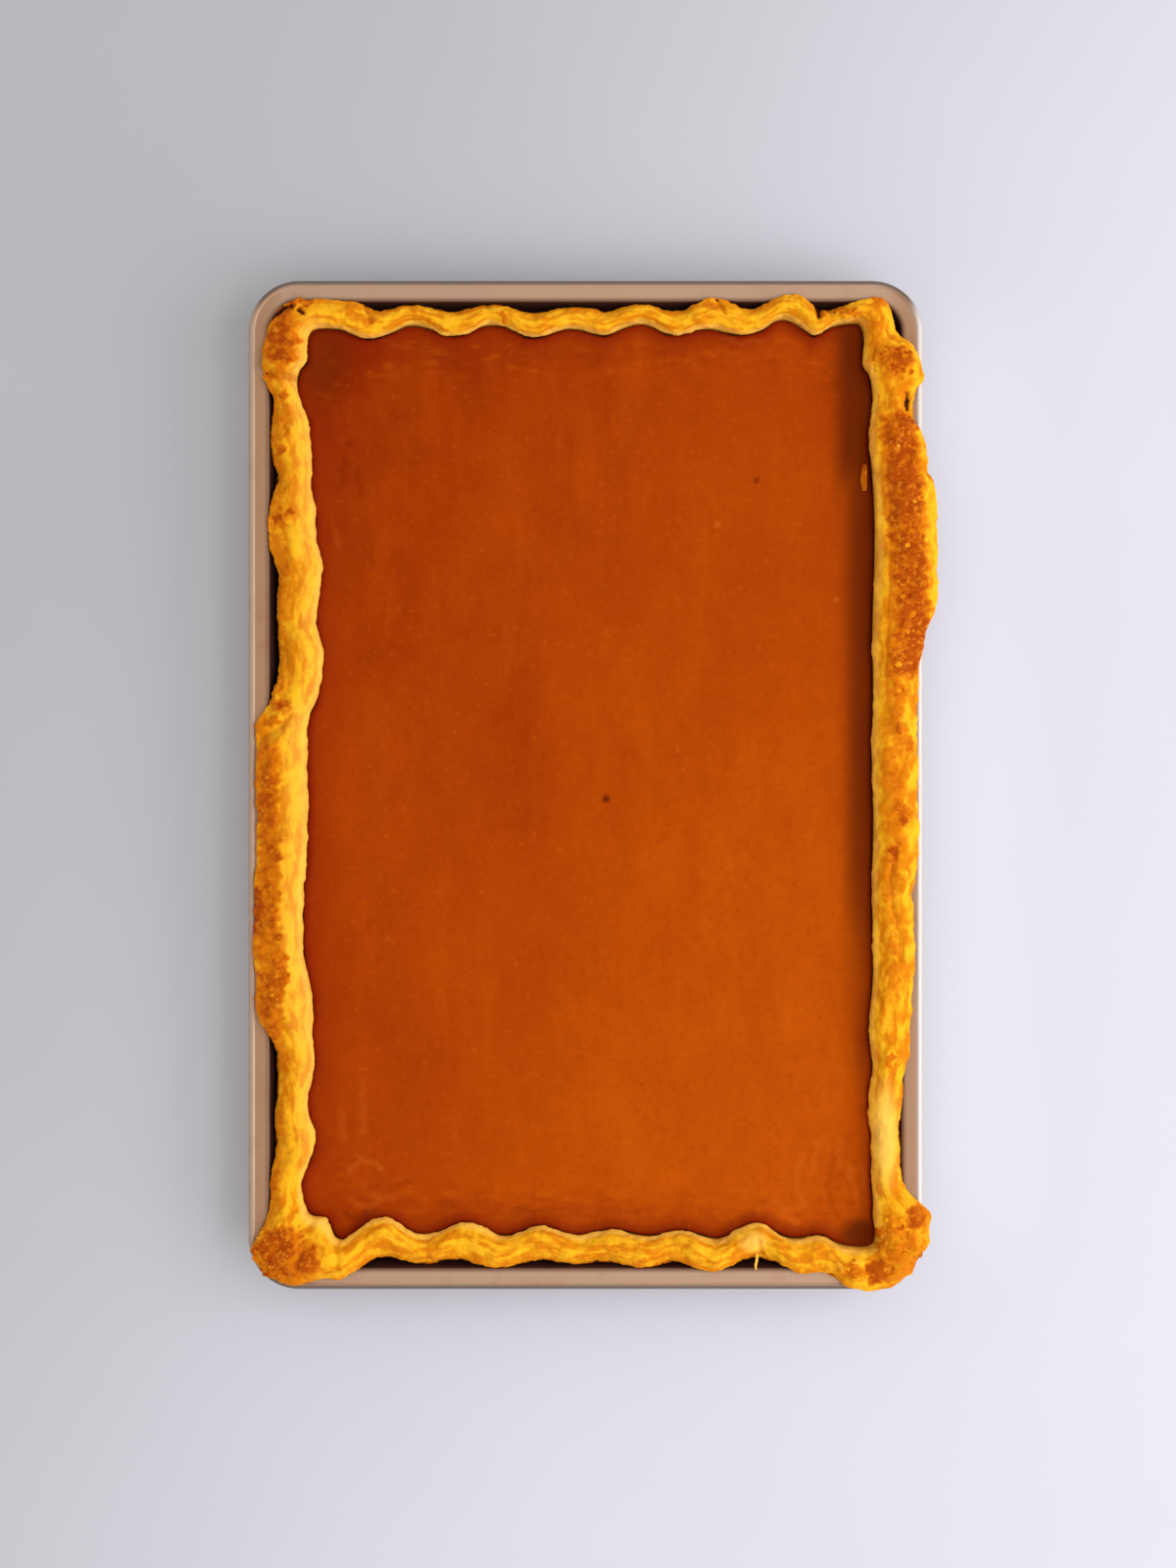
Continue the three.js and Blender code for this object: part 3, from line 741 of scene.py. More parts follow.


# %% [markdown]
# Hand-made dough is never even. The border's crown is pinched to a blunt ridge, and its outside
# swells over the lip. Two corners turn more sharply than the rounded rows do, so their points are
# drawn out, and the knob at the near right is pressed in. That is what proportional editing does
# by hand. Fingers and the oven have left other marks in one place only: a seam where two ends of
# dough were joined, folds where a flap lies over the border, cracks, and the pocket of a loop.
# Each is a line drawn from above, with a width, a height and how much painted shade lies inside
# it. The Smooth modifier then softens them. The crust's outside below the rim, down in the gap
# beside the pan, is given painted shade as well.

# %% Crown, folds, seams and cracks
# The last column is how much painted shade lies inside each fold or crack.
CREASES = [  # path, width, height, darkness
    ([(-127, 160.6), (-120, 159.4), (-112, 158.8)], 4.4, -2.0, 0.3),
    ([(-126.6, 164), (-113, 162.8)], 5.0, 1.3, 0),
    ([(-122.6, 182), (-118.5, 185.2), (-114.2, 186.9)], 2.8, -2.4, 1),
    ([(-111.4, 185), (-109.6, 183.2)], 2.8, -2.2, 1),
    ([(-116, 186), (-112.5, 189.2), (-105.8, 191.2)], 2.6, 1.3, 0),
    ([(-114, 183.6), (-112, 187.4)], 1.9, 1.2, 0),
    ([(-86.5, 189), (-83.4, 179.5)], 2.6, -1.1, 0.3),
    ([(51, 189), (54.6, 183.4)], 2.2, -1.0, 0.35),
    ([(90.4, 189.5), (90.9, 182.4)], 4.2, -4.0, 1),
    ([(84.2, 190), (87.2, 181.5), (90.2, 178.4), (93.4, 182.5), (93.8, 187)], 3.2, 0.9, 0),
    ([(113, 171.5), (111.6, 166), (112.8, 160.6)], 1.6, -0.8, 0.45),
    ([(125.2, 152.6), (125.2, 146.2)], 2.4, -2.4, 0.8),
    ([(118.6, 153), (118, 146)], 1.5, -0.7, 0.25),
    ([(113.4, 143.4), (130, 143.4)], 2.8, -1.3, 0.1),
    ([(113.6, 140.9), (129.5, 140.9)], 2.2, 0.9, 0),
    ([(117.6, 140), (118, 110), (118.6, 85), (117.6, 62), (117.2, 46)], 1.9, -0.8, 0.3),
    ([(132.4, 128), (134, 112), (134, 84), (130.8, 62)], 1.8, -0.6, 0.2),
    ([(120.8, -24), (118.6, -36), (119.6, -48), (122.6, -60), (122.4, -68)], 2.8, -1.3, 0.3),
    ([(124.4, -34), (122.4, -47)], 3.0, 0.8, 0),
    ([(120.6, -95), (119.2, -112), (118.4, -124)], 2.4, -0.6, 0.1),
    ([(118, -191), (124, -186), (130.4, -179)], 6.5, 1.5, 0),
    ([(114.5, -172.5), (114.4, -183.5)], 2.0, 0.9, 0),
    ([(117.4, -169), (117.6, -184)], 2.2, -0.9, 0.3),
    ([(124.6, -163), (126.5, -171), (124.4, -176)], 1.8, -0.9, 0.35),
    ([(-96.4, -175), (-96.8, -186.5)], 4.5, -1.2, 0),
    ([(-107.5, -169), (-102.5, -173), (-100.4, -182)], 7.0, 1.1, 0),
    ([(-111.5, -171), (-109, -179), (-112, -188)], 2.0, -1.2, 0.4),
    ([(67.2, -176.5), (68.6, -183)], 4.2, -1.0, 0.2),
    ([(28.4, -178.4), (34, -176.9), (40.4, -178.8), (36, -181.8), (29, -181)], 1.5, -0.6, 0.15),
    ([(-126.4, 17.5), (-120, 21.5), (-114, 27.5)], 5.0, -1.3, 0.22),
    ([(-126.6, 12.5), (-119.5, 16.4), (-112.5, 21.8)], 6.0, 0.9, 0),
    ([(-121.6, 56), (-120, 40), (-121.4, 27)], 2.6, 0.9, 0),
    ([(-116.6, 52), (-115.4, 36)], 2.2, -0.7, 0.2),
]
CROWN_HEIGHT = 1.0
SWELL, SWELL_AT_RIGHT = 0.8, 1.2
KNOB_PRESSED, KNOB_SHIFT = (133.5, -187, 23, 23), (-3.4, 2.2, 0.4)  # the oval, and how far it moves
points = read_points(crust)
shown = within(across, -0.45, -0.1, 1.0, 1.25)
crown = 1 - between(np.abs(across - 0.55), 0.0, 0.5)
points[:, 2] += CROWN_HEIGHT * shown * (crown - 1)
beyond = np.maximum(np.abs(points[:, :2]) - (HALF_X - TURN, HALF_Y - TURN), 0)
beyond *= np.sign(points[:, :2])
outward = beyond / np.maximum(np.hypot(*beyond.T), 1)[:, None]
swell = within(across, -0.9, -0.3, 0.05, 0.6)
swell *= np.where(points[:, 0] > 100, SWELL_AT_RIGHT, SWELL)
points[:, :2] += swell[:, None] * outward
draw_out_corners(points, between(across, 0.4, 0.85) * between(points[:, 2], 14, 18))
pressed = blot(points, *KNOB_PRESSED, firm=0.0) * within(across, -1.0, -0.7, 0.45, 0.9)
points += pressed[:, None] * KNOB_SHIFT
# Painted shade on the crust's outside below the rim, down in the gap against the pan.
dark = 1 - between(across, -0.35, -0.1)
for path, width, height, darkness in CREASES:
    line = stroke(points, path, width) * shown
    points[:, 2] += height * line
    dark = np.maximum(dark, darkness * between(line, 0.15, 0.9))
write_points(crust, points)
set_group(crust, "shown", shown)
apply_modifier(crust, "SMOOTH", factor=0.5, iterations=3, vertex_group="shown")
print(f"{len(CREASES)} folds and cracks")

# %% [markdown]
# Then come the lumps. Broad ones come from rolling, middling ones from blisters, and where the
# border has bunched up and browned it is cragged like a crumble. The lumps come from the Displace
# modifier with cloud patterns of several sizes. The deepest are kept to the knobs and flaps by a
# vertex group. The highest are pressed down, so that the crust keeps its measured height.

# %% Lumps and blisters
CRAGGED = [  # where dough has bunched or cracked: x, y, size across, size along, turn
    (-116, 173, 15, 34, 0), (-114, 187, 28, 13, 20), (120, 165, 20, 18, 0), (126, 96, 17, 100, 0),
    (124, -178, 32, 34, 35), (-119, -182, 32, 34, -10), (104, -188, 18, 13, 0),
    (-121, -60, 12, 70, 0), (-118, 104, 12, 14, 0), (101, 184, 18, 8, 0), (-119, 35, 12, 30, 0),
    (123, 10, 9, 90, 0),
]
LUMPS = [("shown", 10, 2.2), ("shown", 4.0, 1.3), ("shown", 1.9, 0.55),  # group, size, depth
         ("cragged", 4.4, 2.0), ("cragged", 2.3, 1.6), ("cragged", 1.3, 0.7)]
CEILING, SQUEEZE = 30.4, 0.65  # what stands above this height is pressed down by this share
smooth_points = read_points(crust)
crag = np.zeros(len(smooth_points))
for spot in CRAGGED:
    crag = np.maximum(crag, blot(smooth_points, *spot, firm=0.5))
set_group(crust, "cragged", shown * crag)
for lump in LUMPS:
    cloud_relief(crust, *lump)
crust.vertex_groups.clear()
points = read_points(crust)
points[:, 2] -= SQUEEZE * (points[:, 2] - CEILING).clip(0)
write_points(crust, points)
raised = ((points - smooth_points) * read_points(crust, "normal")).sum(1)
raised -= raised[shown > 0.5].mean()
print(f"lumps from {raised.min():.2f} to {raised.max():.2f} mm")

# %% [markdown]
# Baking colours the crust by how thin and how exposed it is. The inner edge, against the moist
# custard, stays pale, and a painted highlight runs along it: spread wider on the left, which faces
# the window, and weaker on the right, which is in shade. The crown turns golden, toasted along its
# ridge at the right, and the outer edge and everything that stands proud turns brown. Two short
# stretches towards the front have stayed blanched. These amounts are kept on the points as
# attributes, and the finish reads them.

# %% Where the crust has browned
BROWNED = [  # x, y, size across, size along, turn, amount
    (-118, 172.5, 18, 30, -6, 0.7), (-119.5, 171, 12, 20, -6, 0.9), (-119, 183.5, 14, 9, 20, 0.8),
    (-109, 189.4, 13, 7, 25, 0.9), (-122.5, 158.6, 7, 4, 0, 0.6), (-117, 145, 4.5, 26, 4, 0.5),
    (-119, 130, 5, 8, 0, 0.6), (-119.6, 103, 8, 8, 0, 0.8), (-115.3, 106, 3, 4, 0, 0.9),
    (-117.4, 86, 5, 16, 0, 0.4), (-120, 44, 7, 12, 0, 0.3), (-118, 31.4, 7, 8, 0, 0.75),
    (-122.4, 24.6, 8, 7, 0, 0.7), (-121, -27, 7, 8, 0, 1.0), (-128, -50, 6, 30, 0, 1.0),
    (-118.4, -72, 8, 24, 0, 0.75), (-117.4, -112, 5, 28, 0, 0.45), (-116.5, -140, 3, 16, 0, 0.35),
    (-120, -179, 20, 20, 0, 1.0), (-116, -183, 30, 28, 0, 0.6), (-108, -184, 12, 16, 20, 0.85),
    (-121, -190, 16, 8, 0, 0.8), (-61, -182, 8, 6, 0, 0.35), (86, -185, 10, 6, 0, 0.4),
    (50.6, -177, 7, 4, 0, 0.45), (104, -188, 14, 8, 0, 0.45), (123.5, -178.5, 20, 32, 18, 0.45),
    (129, -168, 11, 12, 0, 0.9), (114, -189, 15, 13, 0, 0.95), (115.4, -178, 5, 17, 0, 0.65),
    (118.5, -109, 4, 18, 0, 0.45), (120.4, -77, 4, 20, 0, 0.45), (122.3, 45, 5, 9, 0, 0.85),
    (122.3, 35, 5, 8, 0, 0.85), (126, 15.7, 6, 10, 0, 0.6), (124.2, -12, 6, 10, 0, 0.75),
    (120.4, -26, 5, 9, 0, 1.0), (120.4, -60, 4, 14, 0, 0.5), (120.4, 165, 17, 14, 0, 0.8),
    (122.5, 163.6, 8, 6, 0, 1.0), (116, 188.6, 13, 8, 20, 0.65), (-91, 187.5, 14, 6, 0, 0.5),
    (-84, 181, 5, 9, 0, 0.6), (-66, 186, 13, 5, 0, 0.35), (-31.5, 182.4, 5, 5, 0, 0.45),
    (49, 186.5, 9, 4, 0, 0.6), (101, 185, 17, 5, 0, 0.6), (4, 186.5, 12, 3, 0, 0.35),
    (20, -185, 12, 4, 0, 0.35),
]
BROWN_BANDS = [  # path, width, amount
    ([(-123.6, 12), (-123, -30), (-123.4, -60), (-121.8, -96)], 16, 0.7),
    ([(121.4, 62), (120.6, 30), (121, 0), (120.6, -20), (119, -32)], 9, 0.5),
    ([(121.5, 139), (122.7, 128), (124.4, 105), (125.6, 85), (126.7, 70), (127, 60), (124, 49)],
     23.5, 1.0),
]
painted = wander(points, 1.3)
brown = np.zeros(len(points))
for *spot, amount in BROWNED:
    brown = np.maximum(brown, amount * blot(painted, *spot, firm=0.55))
for path, width, amount in BROWN_BANDS:
    brown = np.maximum(brown, amount * between(stroke(painted, path, width), 0, 0.75))
on_left = between(-points[:, 0], 98, 110)
on_right = between(points[:, 0], 98, 110)
outer = 1 - between(across, 0.05, 0.55)
long_sides = np.maximum(on_left, on_right * between(points[:, 1], -120, -60))
ridge = within(across, 0.2 * on_right - 0.1, 0.25 * on_right + 0.25, 0.7, 0.95) * long_sides
brown = np.maximum(brown, 0.32 * outer * (1 - on_right) + (0.12 + 0.28 * on_right) * ridge)
brown = np.clip(brown + 0.3 * raised * between(brown, 0.1, 0.5), 0, 1)
blanched = 0.95 * blot(points, 116.5, -136, 15, 54) + 0.8 * blot(points, 65.5, -178, 15, 11)
facing_window = on_left * between(points[:, 1], -160, -135)
# The pale inner edge carries a painted highlight: halved on the right, which is in shade, and
# spread wider on the left, which faces the window.
inner_line = 0.85 * between(across, 0.84, 0.96) * (1 - 0.5 * on_right - 0.5 * facing_window)
inner_line += 0.32 * facing_window * between(across, 0.4, 0.9)
inner_line = np.minimum(inner_line, 1) * (1 - 0.8 * between(brown, 0.4, 0.8))
write_attributes(crust, brown=brown, pale=np.maximum(inner_line, blanched), dark=dark)
lie = np.stack([0.3 * distance_round(points), 12 * across, points[:, 2]], 1) * MM
layer = crust.data.attributes.new("lie", "FLOAT_VECTOR", "POINT")
layer.data.foreach_set("vector", lie.astype(np.float32).ravel())
print(f"{(brown > 0.5).mean():.0%} of the crust's points have browned")

# %% Crust finish
GOLDEN, LIGHT_GOLDEN, PALE_GOLDEN = (0.71, 0.21, 0.003), (0.98, 0.485, 0.014), (1.0, 0.60, 0.10)
TOASTED, BROWN, SCORCHED = (0.69, 0.18, 0.003), (0.44, 0.07, 0.002), (0.34, 0.042, 0.001)
SPECK, PALE_BIT = (0.21, 0.026, 0.001), (0.95, 0.36, 0.02)
# Painted shade in the gap against the pan and in folds, and deeper painted shade in cracks.
IN_SEAM, IN_CRACK = (0.40, 0.075, 0.003), (0.055, 0.009, 0.002)


def pastry_finish(name):
    """Golden pastry with toasted mottles, for the crust and for what has broken off it. The streaks
    follow the border, since their pattern is laid along it by the attribute called lie."""
    pastry = Finish(name, Specular_IOR_Level=0.2, Specular_Tint=(1.0, 0.6, 0.15, 1.0))
    brown_here, pale_here, dark_here = map(pastry.attribute, ("brown", "pale", "dark"))
    blots = pastry.noise(6, detail=4.0, roughness=0.6)
    lie = pastry.node("Attribute", {"attribute_name": "lie"}, output="Vector")
    streak = pastry.node("TexNoise", None, {"Vector": lie, "Scale": 1 / (2.6 * MM), "Detail": 3.0})
    mottle = pastry.noise(2.2, detail=3.0, roughness=0.6, shift=0.5)
    crumb = pastry.noise(0.8, detail=3.0, roughness=0.65, shift=1.1)
    uneven = (blots - 0.5) * 0.9 + (streak - 0.5) * 0.8 + (mottle - 0.5) * 0.9 + (crumb - 0.5) * 0.3
    toasted = brown_here + uneven * (brown_here * 0.6 + 0.4)
    scorched = (blots * 0.65 + mottle * 0.35).step(0.48, 0.6) * brown_here.step(0.45, 0.95)
    specks = (mottle * 0.45 + crumb * 0.55).step(0.55, 0.63) * brown_here.step(0.15, 0.8)
    pale_bits = (1 - mottle).step(0.54, 0.64) * (blots * 0.5 + crumb * 0.5).step(0.42, 0.56)
    pale_bits *= brown_here.step(0.4, 0.9)
    pastry.wire("Base Color", pastry.paint_over(
        pastry.mix(streak.step(0.36, 0.62), GOLDEN, LIGHT_GOLDEN),
        # pale inner edge with its painted highlight, and blanched spots
        (pale_here * 0.85, PALE_GOLDEN),
        (toasted.step(0.12, 0.55), TOASTED),
        (toasted.step(0.45, 1.05), BROWN),
        (scorched * 0.45, SCORCHED),
        (specks * 0.35, SPECK),
        (pale_bits * 0.5, PALE_BIT),
        # painted shade in the gap and in folds and cracks
        (dark_here.step(0.0, 0.55) * 0.8, IN_SEAM),
        (dark_here.step(0.45, 1.0), IN_CRACK)))
    pastry.wire("Roughness", 0.72 - pale_here * 0.12 + (crumb - 0.5) * 0.2)
    pastry.bump(mottle * 0.5 + crumb * 0.5, 0.4, 0.7)
    return pastry


pastry_finish("baked_pastry").put_on(crust)
pick_only(crust)
bpy.ops.object.shade_smooth()
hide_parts("crust")
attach(crust, "root")
print(f"crust: {triangles(crust)} triangles")

# %% [markdown]
# ## Crumbs, a flake and a thread
#
# Where the border has bunched up it is covered with crumbs that baked on, and a few have fallen on
# the custard. A crumb is a coarse ball whose points are moved about by hand, here by a seeded
# random number. Each sits partly sunk in what lies under it, found by looking straight down.


# %% Crumbs
def height_at(piece, x, y):
    """The height of a piece's top at a place, in millimetres, or None beside it."""
    hit, place, _, _ = piece.ray_cast(Vector((x, y, 60)) * MM, Vector((0, 0, -1)))
    return place.z / MM if hit else None


def make_crumbs(name, spots, rng):
    """Crumbs as one piece; each spot has x, y, height, size, and how brown the crumb is."""
    parts = []
    for x, y, z, size, browning in spots:
        bpy.ops.object.select_all(action="DESELECT")
        bpy.ops.mesh.primitive_uv_sphere_add(segments=7, ring_count=5, radius=size / 2 * MM,
                                             location=Vector((x, y, z)) * MM)
        crumb = bpy.context.object
        start_edit(crumb, action="SELECT")
        bpy.ops.transform.resize(
            value=(rng.uniform(0.6, 1.5), rng.uniform(0.6, 1.3), rng.uniform(0.35, 0.65)))
        end_edit()
        places = read_points(crumb)
        places += rng.normal(0, 0.07 * size, places.shape)
        write_points(crumb, places)
        write_attributes(crumb, brown=browning, pale=rng.choice((0, 0, 0, 0.35)), dark=0)
        parts.append(crumb)
    pick_only(parts[0])
    for part in parts:
        part.select_set(True)
    bpy.ops.object.join()
    crumbs = bpy.context.object
    bpy.ops.object.transform_apply(location=True, rotation=True, scale=True)
    crumbs.name = name
    return crumbs


rng = np.random.default_rng(7)
LOWEST_SEAT, CEILING_OF_CRUMBS = 24.5, 31.5  # heights that crumbs keep between
HEAPS = [  # x, y, spread across, spread along, how many, how brown
    (124, 128, 4.5, 11, 22, 0.85), (126, 98, 5.5, 20, 41, 0.8), (126, 68, 4.5, 12, 22, 0.7),
    (123, 52, 2.5, 8, 6, 0.5), (120.5, 165, 6.5, 5, 22, 0.75), (-121, -182, 8, 10, 48, 0.9),
    (-111, 187, 5, 2, 6, 0.8), (-118, 174, 3.5, 9, 6, 0.7), (104, -188, 6, 3, 15, 0.3),
    (124, -178, 7, 11, 28, 0.65), (-119, -72, 3, 14, 11, 0.7), (101, 184, 5, 1.8, 6, 0.35),
    (-118, 104, 3, 4, 4, 0.8),
]
spots = []
for x, y, spread_x, spread_y, number, browning in HEAPS:
    for _ in range(number):
        px, py = x + rng.uniform(-1, 1) * spread_x, y + rng.uniform(-1, 1) * spread_y
        size = rng.uniform(1.1, 2.9)
        top = height_at(crust, px, py)
        if top is not None and top > LOWEST_SEAT:
            middle = min(top - 0.12 * size, CEILING_OF_CRUMBS - 0.35 * size)
            spots.append((px, py, middle, size, np.clip(browning + rng.normal(0, 0.3), 0, 1)))
crumbs = make_crumbs("baked_on_crumbs", spots, rng)
pastry_finish("pastry_crumb").put_on(crumbs)
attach(crumbs, "root")
print(f"{len(spots)} crumbs, {triangles(crumbs)} triangles")

# %% [markdown]
# A flake of crust leans against the inside of the border, and one thread of dough reaches over
# the gap to the pan's rim. Both start as a plane cut into squares, so that there are points to
# bend it by. Solidify gives them a thickness.


# %% Flake and thread
def pastry_strip(name, length, width, thickness, place, turn, bend):
    """A thin strip of pastry, bent across its length. The place and sizes are in millimetres."""
    strip = add_plane(name, width * MM, length * MM)
    bpy.ops.mesh.subdivide(number_cuts=7)
    end_edit()
    shape = read_points(strip)
    along, sideways = shape[:, 1] / length, shape[:, 0] / width
    shape[:, 2] += bend * (sideways + 0.5) ** 2 + 0.35 * np.sin(9 * along + 1)
    shape[:, 0] *= 1 - 0.45 * np.abs(2 * along) ** 2.5 + 0.12 * np.sin(23 * along)
    shape[:, 0] += 0.3 * np.sin(5 * along)
    write_points(strip, shape)
    apply_modifier(strip, "SOLIDIFY", thickness=thickness * MM, offset=0)
    apply_modifier(strip, "SUBSURF", levels=1, render_levels=1)
    strip.rotation_euler = [math.radians(angle) for angle in turn]
    strip.location = Vector(place) * MM
    pick_only(strip)
    bpy.ops.object.transform_apply(location=True, rotation=True, scale=True)
    bpy.ops.object.shade_smooth()
    return strip


flake = pastry_strip("crust_flake", 10.5, 3.0, 0.7, (109.2, 120.4, 20.9), (0, -38, 3), 0.5)
thread = pastry_strip("dough_thread", 6.6, 1.1, 0.6, (66.6, -185.8, 25.1), (3, 0, 1), 0.1)
for strip, browning, paleness in ((flake, 0.65, 0.25), (thread, 0.1, 1.0)):
    write_attributes(strip, brown=browning, pale=paleness, dark=0)
    pastry_finish(strip.name + "_pastry").put_on(strip)
    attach(strip, "root")
    print(f"{strip.name}: {triangles(strip)} triangles")

# %% [markdown]
# ## The filling
#
# The custard is poured in liquid and sets in the oven. Its top is almost flat: it clings a little
# to the crust, sinks towards the middle, and its skin is slightly wrinkled where it dried first.
# The measured solid has the right outline, so a copy of it is taken, a voxel remesh gives it an
# even skin of small squares, and the top is then moved up and down by a few simple rules.

# %% Even skin for the filling
MEETS_ABOVE, MEETS_WITHIN = 18.5, 19  # where the top meets the crust: a height and an inset
filling = merged_copy("filling", "pumpkin_custard")
points = read_points(filling)
rim_points = points[(points[:, 2] > MEETS_ABOVE) & (inset_of(points) < MEETS_WITHIN)]
apply_modifier(filling, "REMESH", mode="VOXEL", voxel_size=1.15 * MM, adaptivity=0.0)
print(f"filling: {triangles(filling)} triangles after the remesh")

# %% Thin out the underside
points = read_points(filling)
thin_out(filling, between(17.0 - points[:, 2], 0, 1), 0.5)
print(f"filling: {triangles(filling)} triangles with a coarse underside")

# %% The custard's top
points = read_points(filling)
draw_out_corners(points, between(points[:, 2], 14, 18))
draw_out_corners(rim_points, 1.0)
rim_points = rim_points[np.argsort(distance_round(rim_points))]
ahead = np.roll(rim_points, -1, axis=0)
rim_line = np.concatenate([rim_points + (ahead - rim_points) * step / 8 for step in range(8)])
tree = kdtree.KDTree(len(rim_line))
for index, (x, y, _) in enumerate(rim_line):
    tree.insert((x, y, 0), index)
tree.balance()
to_crust = np.array([tree.find((x, y, 0))[2] for x, y, _ in points])
on_top = between(points[:, 2], 17.6, 18.4)
height = 0.55 * (1 - between(to_crust, 0, 3.2)) - 0.25 * between(to_crust, 2, 9)
points[:, 2] += height * on_top
write_points(filling, points)
set_group(filling, "top", on_top * between(to_crust, 0.5, 4))
for size, depth in ((45, 0.5), (12, 0.14)):
    cloud_relief(filling, "top", size, depth)
filling.vertex_groups.clear()
points = read_points(filling)
skin = points[on_top > 0.5, 2]
print(f"the custard's top lies {skin.min():.1f} to {skin.max():.1f} mm high")

# %% [markdown]
# The skin has a few marks: wrinkles near the corners, where it dried and was then pulled by the
# shrinking custard, a burst bubble in the middle, and small pits. Each is a line or a spot with a
# height, and a tone: a raised mark is paler, as dried skin and as a painted highlight, and a hollow
# is darker, as painted shade.

# %% Wrinkles and pits
WRINKLES = [  # path, width, height, tone
    ([(-90, -146), (-84, -148.6), (-80, -150.4)], 3.0, 0.45, 0.8),
    ([(-93, -152), (-89, -147)], 2.6, 0.4, 0.7),
    ([(-86, -157), (-78, -157.6), (-69, -156)], 2.8, -0.3, -0.8),
    ([(-84, -161), (-76, -162.4)], 2.6, 0.35, 0.6),
    ([(-93, -163), (-85, -166.5), (-81, -163)], 2.4, 0.35, 0.55),
    ([(-95, -168), (-89, -171), (-83, -166)], 3.0, -0.35, -1.0),
    ([(-96, -128), (-95.4, -140)], 4.0, 0.2, 0.45), ([(-88, -116), (-87.4, -136)], 3.4, 0.2, 0.4),
    ([(84, -145), (82, -156), (85, -166)], 2.6, 0.3, 0.5),
    ([(91, -141), (88, -152)], 2.4, 0.3, 0.5),
    ([(97, -146), (94.6, -160), (98, -169)], 3.0, -0.25, -0.6),
    ([(103, -150), (106.6, -164)], 2.6, 0.3, 0.6), ([(108, -148), (110, -158)], 2.6, 0.25, 0.6),
    ([(100, -138), (98.6, -149)], 2.2, 0.25, 0.45),
    ([(68, -166), (73, -163.4), (80, -167)], 2.2, 0.3, 0.6),
    ([(76, -169), (83, -172)], 2.2, 0.3, 0.5),
    ([(54, 175), (62, 173.4), (70, 174.6)], 2.2, 0.25, 0.5),
    ([(50, 170.5), (60, 169.6)], 2.0, 0.2, 0.4),
    ([(-68, 172), (-58, 168.6), (-52, 170)], 2.4, -0.2, -0.5),
    ([(-20, 169), (-10, 168)], 2.2, -0.2, -0.4), ([(-95, 128), (-96, 118)], 3.0, -0.25, -0.7),
    ([(-90, 126), (-89, 114)], 2.6, -0.2, -0.5),
    ([(-30, -166), (-20, -167.4), (-8, -166.4)], 2.6, -0.25, -0.6),
    ([(5, -166.5), (20, -167.5)], 2.4, -0.2, -0.5), ([(-82, 176), (-76, 173)], 2.2, 0.2, 0.3),
    ([(-99, 101), (-97, 94)], 2.4, 0.25, 0.4),
]
PITS = [  # x, y, across, height, tone
    (7.8, -5.4, 4.4, -0.8, -1.6), (67, 119.6, 3.2, -0.4, -1.3), (51.8, 102.4, 2.6, 0.3, 1.0),
    (98.4, 73, 2.8, 0.3, 1.0), (-93, 134, 3.4, -0.2, -0.6), (-60, 62, 2.4, -0.2, -0.5),
    (36, 14, 2.4, 0.2, 0.5), (-20, 108, 2.2, -0.2, -0.5), (22, -118, 2.6, -0.2, -0.5),
    (-78, -60, 2.4, 0.2, 0.5),
]
WIDEN, SOFTEN = 1.3, 0.5  # for all wrinkles at once
lighter, darker = np.zeros(len(points)), np.zeros(len(points))
wandering = wander(points, 0.9)
marks = [(stroke(wandering, path, WIDEN * width), height, SOFTEN * tone)
         for path, width, height, tone in WRINKLES]
marks += [(blot(points, x, y, size, size), height, tone) for x, y, size, height, tone in PITS]
for mark, height, tone in marks:
    points[:, 2] += height * mark * on_top
    lighter = np.maximum(lighter, tone * mark)
    darker = np.maximum(darker, -tone * mark)
write_points(filling, points)
print(f"{len(marks)} wrinkles and pits")

# %% [markdown]
# The custard's colour changes slowly over the pie: dark red-brown at the far left corner, and a
# brighter orange at the near right one. Along the crust it has caught more, with painted shade
# there too, and under the high flap on the right a whole band carries the flap's painted shadow,
# as do two inner corners. A faint ripple runs along the crust near the corners, with painted light
# on its crests and painted shade in its troughs.

# %% How dark the custard is
x, y = points[:, 0], points[:, 1]
right, back = x / 113, y / 180  # from -1 to 1 over the custard
# Darker towards the far left corner and brighter towards the near right one.
bright = 0.56 + 0.22 * (right - back) - 0.22 * right ** 2 * back ** 2
bright += 0.07 * blot(points, 28, 5, 30, 190) - 0.13 * blot(points, -26, 14, 40, 130)
bright -= 0.12 * blot(points, -80, -118, 80, 120)
# Along the crust the custard has caught, and painted shade darkens it there too; a wider painted
# shade reaches further in, away from the window side.
near_edge = (1 - between(to_crust, 0.3, 6.5)) * (1 - 0.6 * between(x, 100, 106))
edge = np.maximum(near_edge, 0.5 * (1 - between(to_crust, 1, 15)) * between(90 - x, 0, 60))
# Painted shadow of the high flap on the right, fainter towards its near end, and of the crust at
# two inner corners.
band = between(x, 98, 107) * (0.35 + 0.65 * between(y, -90, -20)) * between(y, -125, -95)
band = np.maximum(band, 1.15 * between(x, 94, 103) * between(y, 100, 130))
faint_end = 0.5 * between(x, 101, 108) * within(-y, 85, 100, 104, 125)
corners = 0.8 * blot(points, -104, 166, 34, 52) + 1.25 * blot(points, 108, -176, 24, 18)
band = np.maximum.reduce([band, faint_end, corners])
ripple = within(to_crust, 1.5, 5, 9, 18) * between(np.abs(y), 120, 165)
write_attributes(filling, bright=bright.clip(0, 1), edge=edge, ripple=ripple, lighter=lighter,
                 darker=darker, band=band.clip(0, 1.2))
print(f"brightness from {bright.min():.2f} to {bright.max():.2f}")

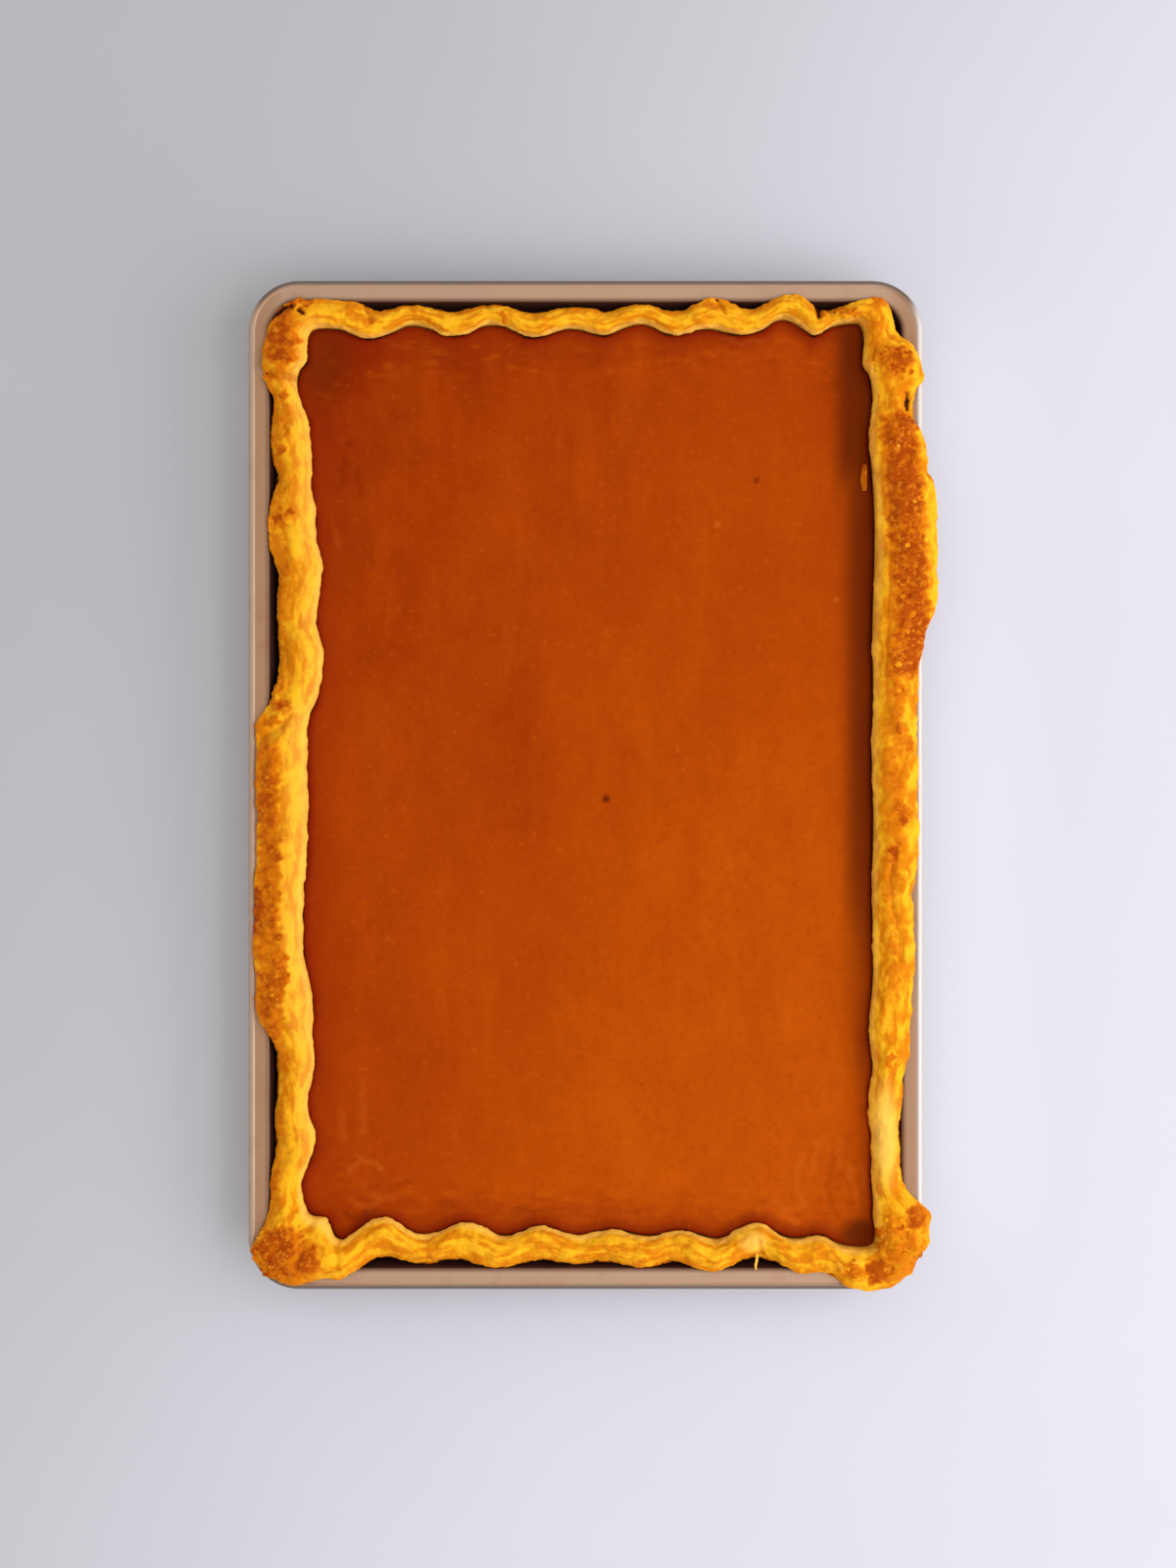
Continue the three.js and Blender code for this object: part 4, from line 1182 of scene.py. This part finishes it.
# %% Custard finish
DEEP, MIDDLING, ORANGE = (0.235, 0.0130, 0.0003), (0.37, 0.030, 0.0004), (0.54, 0.087, 0.0006)
STREAK, DARK_FLECK, PALE_FLECK = (0.56, 0.095, 0.002), (0.31, 0.028, 0.0005), (0.64, 0.12, 0.003)
# Painted light on the ripple's crests and painted shade in its troughs.
PALE_RIPPLE, DARK_RIPPLE = (0.66, 0.13, 0.004), (0.20, 0.013, 0.0005)
# Caught custard with painted shade along the crust, and the painted shadow of the flap.
CAUGHT, DARK_BAND, SPICE = (0.225, 0.013, 0.001), (0.135, 0.0125, 0.0006), (0.19, 0.015, 0.0005)
# Raised marks: dried skin with a painted highlight; hollows: painted shade.
DRIED, HOLLOW = (0.72, 0.17, 0.015), (0.14, 0.009, 0.0005)
custard = Finish("pumpkin_custard", Specular_IOR_Level=0.25, Specular_Tint=(1.0, 0.4, 0.08, 1.0))
edge_here, ripple_here = custard.attribute("edge"), custard.attribute("ripple")
broad = custard.noise(38, detail=3.0)
patchy = custard.noise(12, detail=2.0, stretch=(1, 0.5, 1), shift=0.2)
streaks = custard.noise(9, detail=2.0, stretch=(1, 0.2, 1), shift=0.4)
blotchy = custard.noise(5, detail=1.5, stretch=(1, 0.7, 1), shift=1.7)
ripples = custard.noise(4, detail=3.0, stretch=(0.5, 1.2, 1), shift=0.7)
fine = custard.noise(2.4, detail=4.0, roughness=0.65)
spice = custard.noise(1.0, detail=2.0, roughness=0.6, shift=0.9)
uneven = (broad - 0.5) * 0.45 + (patchy - 0.5) * 0.25 + (blotchy - 0.5) * 0.18
tone = (custard.attribute("bright") + uneven).clamp()
custard.wire("Base Color", custard.paint_over(
    custard.mix(tone, DEEP, ORANGE),
    (tone * (1 - tone), MIDDLING),
    (streaks.step(0.5, 0.75) * 0.12, STREAK),
    (fine.step(0.52, 0.75) * 0.4, DARK_FLECK),
    ((1 - fine).step(0.55, 0.75) * 0.25, PALE_FLECK),
    (ripples.step(0.52, 0.68) * ripple_here * 0.2, PALE_RIPPLE),
    ((1 - ripples).step(0.52, 0.68) * ripple_here * 0.25, DARK_RIPPLE),
    (edge_here * 0.85, CAUGHT),
    ((custard.attribute("band") * 0.82).clamp(), DARK_BAND),
    (custard.attribute("lighter") * 0.55, DRIED),
    ((custard.attribute("darker") * 0.7).clamp(), HOLLOW),
    (spice.step(0.68, 0.76) * 0.5, SPICE)))
custard.wire("Roughness", 0.44 + (fine - 0.5) * 0.2 + edge_here * 0.1)
custard.bump(fine * 0.6 + spice * 0.4 + ripples * ripple_here * 1.3, 0.12, 0.5)
custard.put_on(filling)
pick_only(filling)
bpy.ops.object.shade_smooth()
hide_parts("filling")
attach(filling, "root")

# %% [markdown]
# ## Measuring up
#
# The dressed pie must be as large as the measured one, so both boxes are taken and the
# differences printed.

# %% Sizes
dressed_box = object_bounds()
for label, cad, visual in zip(("low", "high"), measured_box, dressed_box):
    print(label, [round((v - c) / MM, 2) for c, v in zip(cad, visual)], "mm off the measured box")
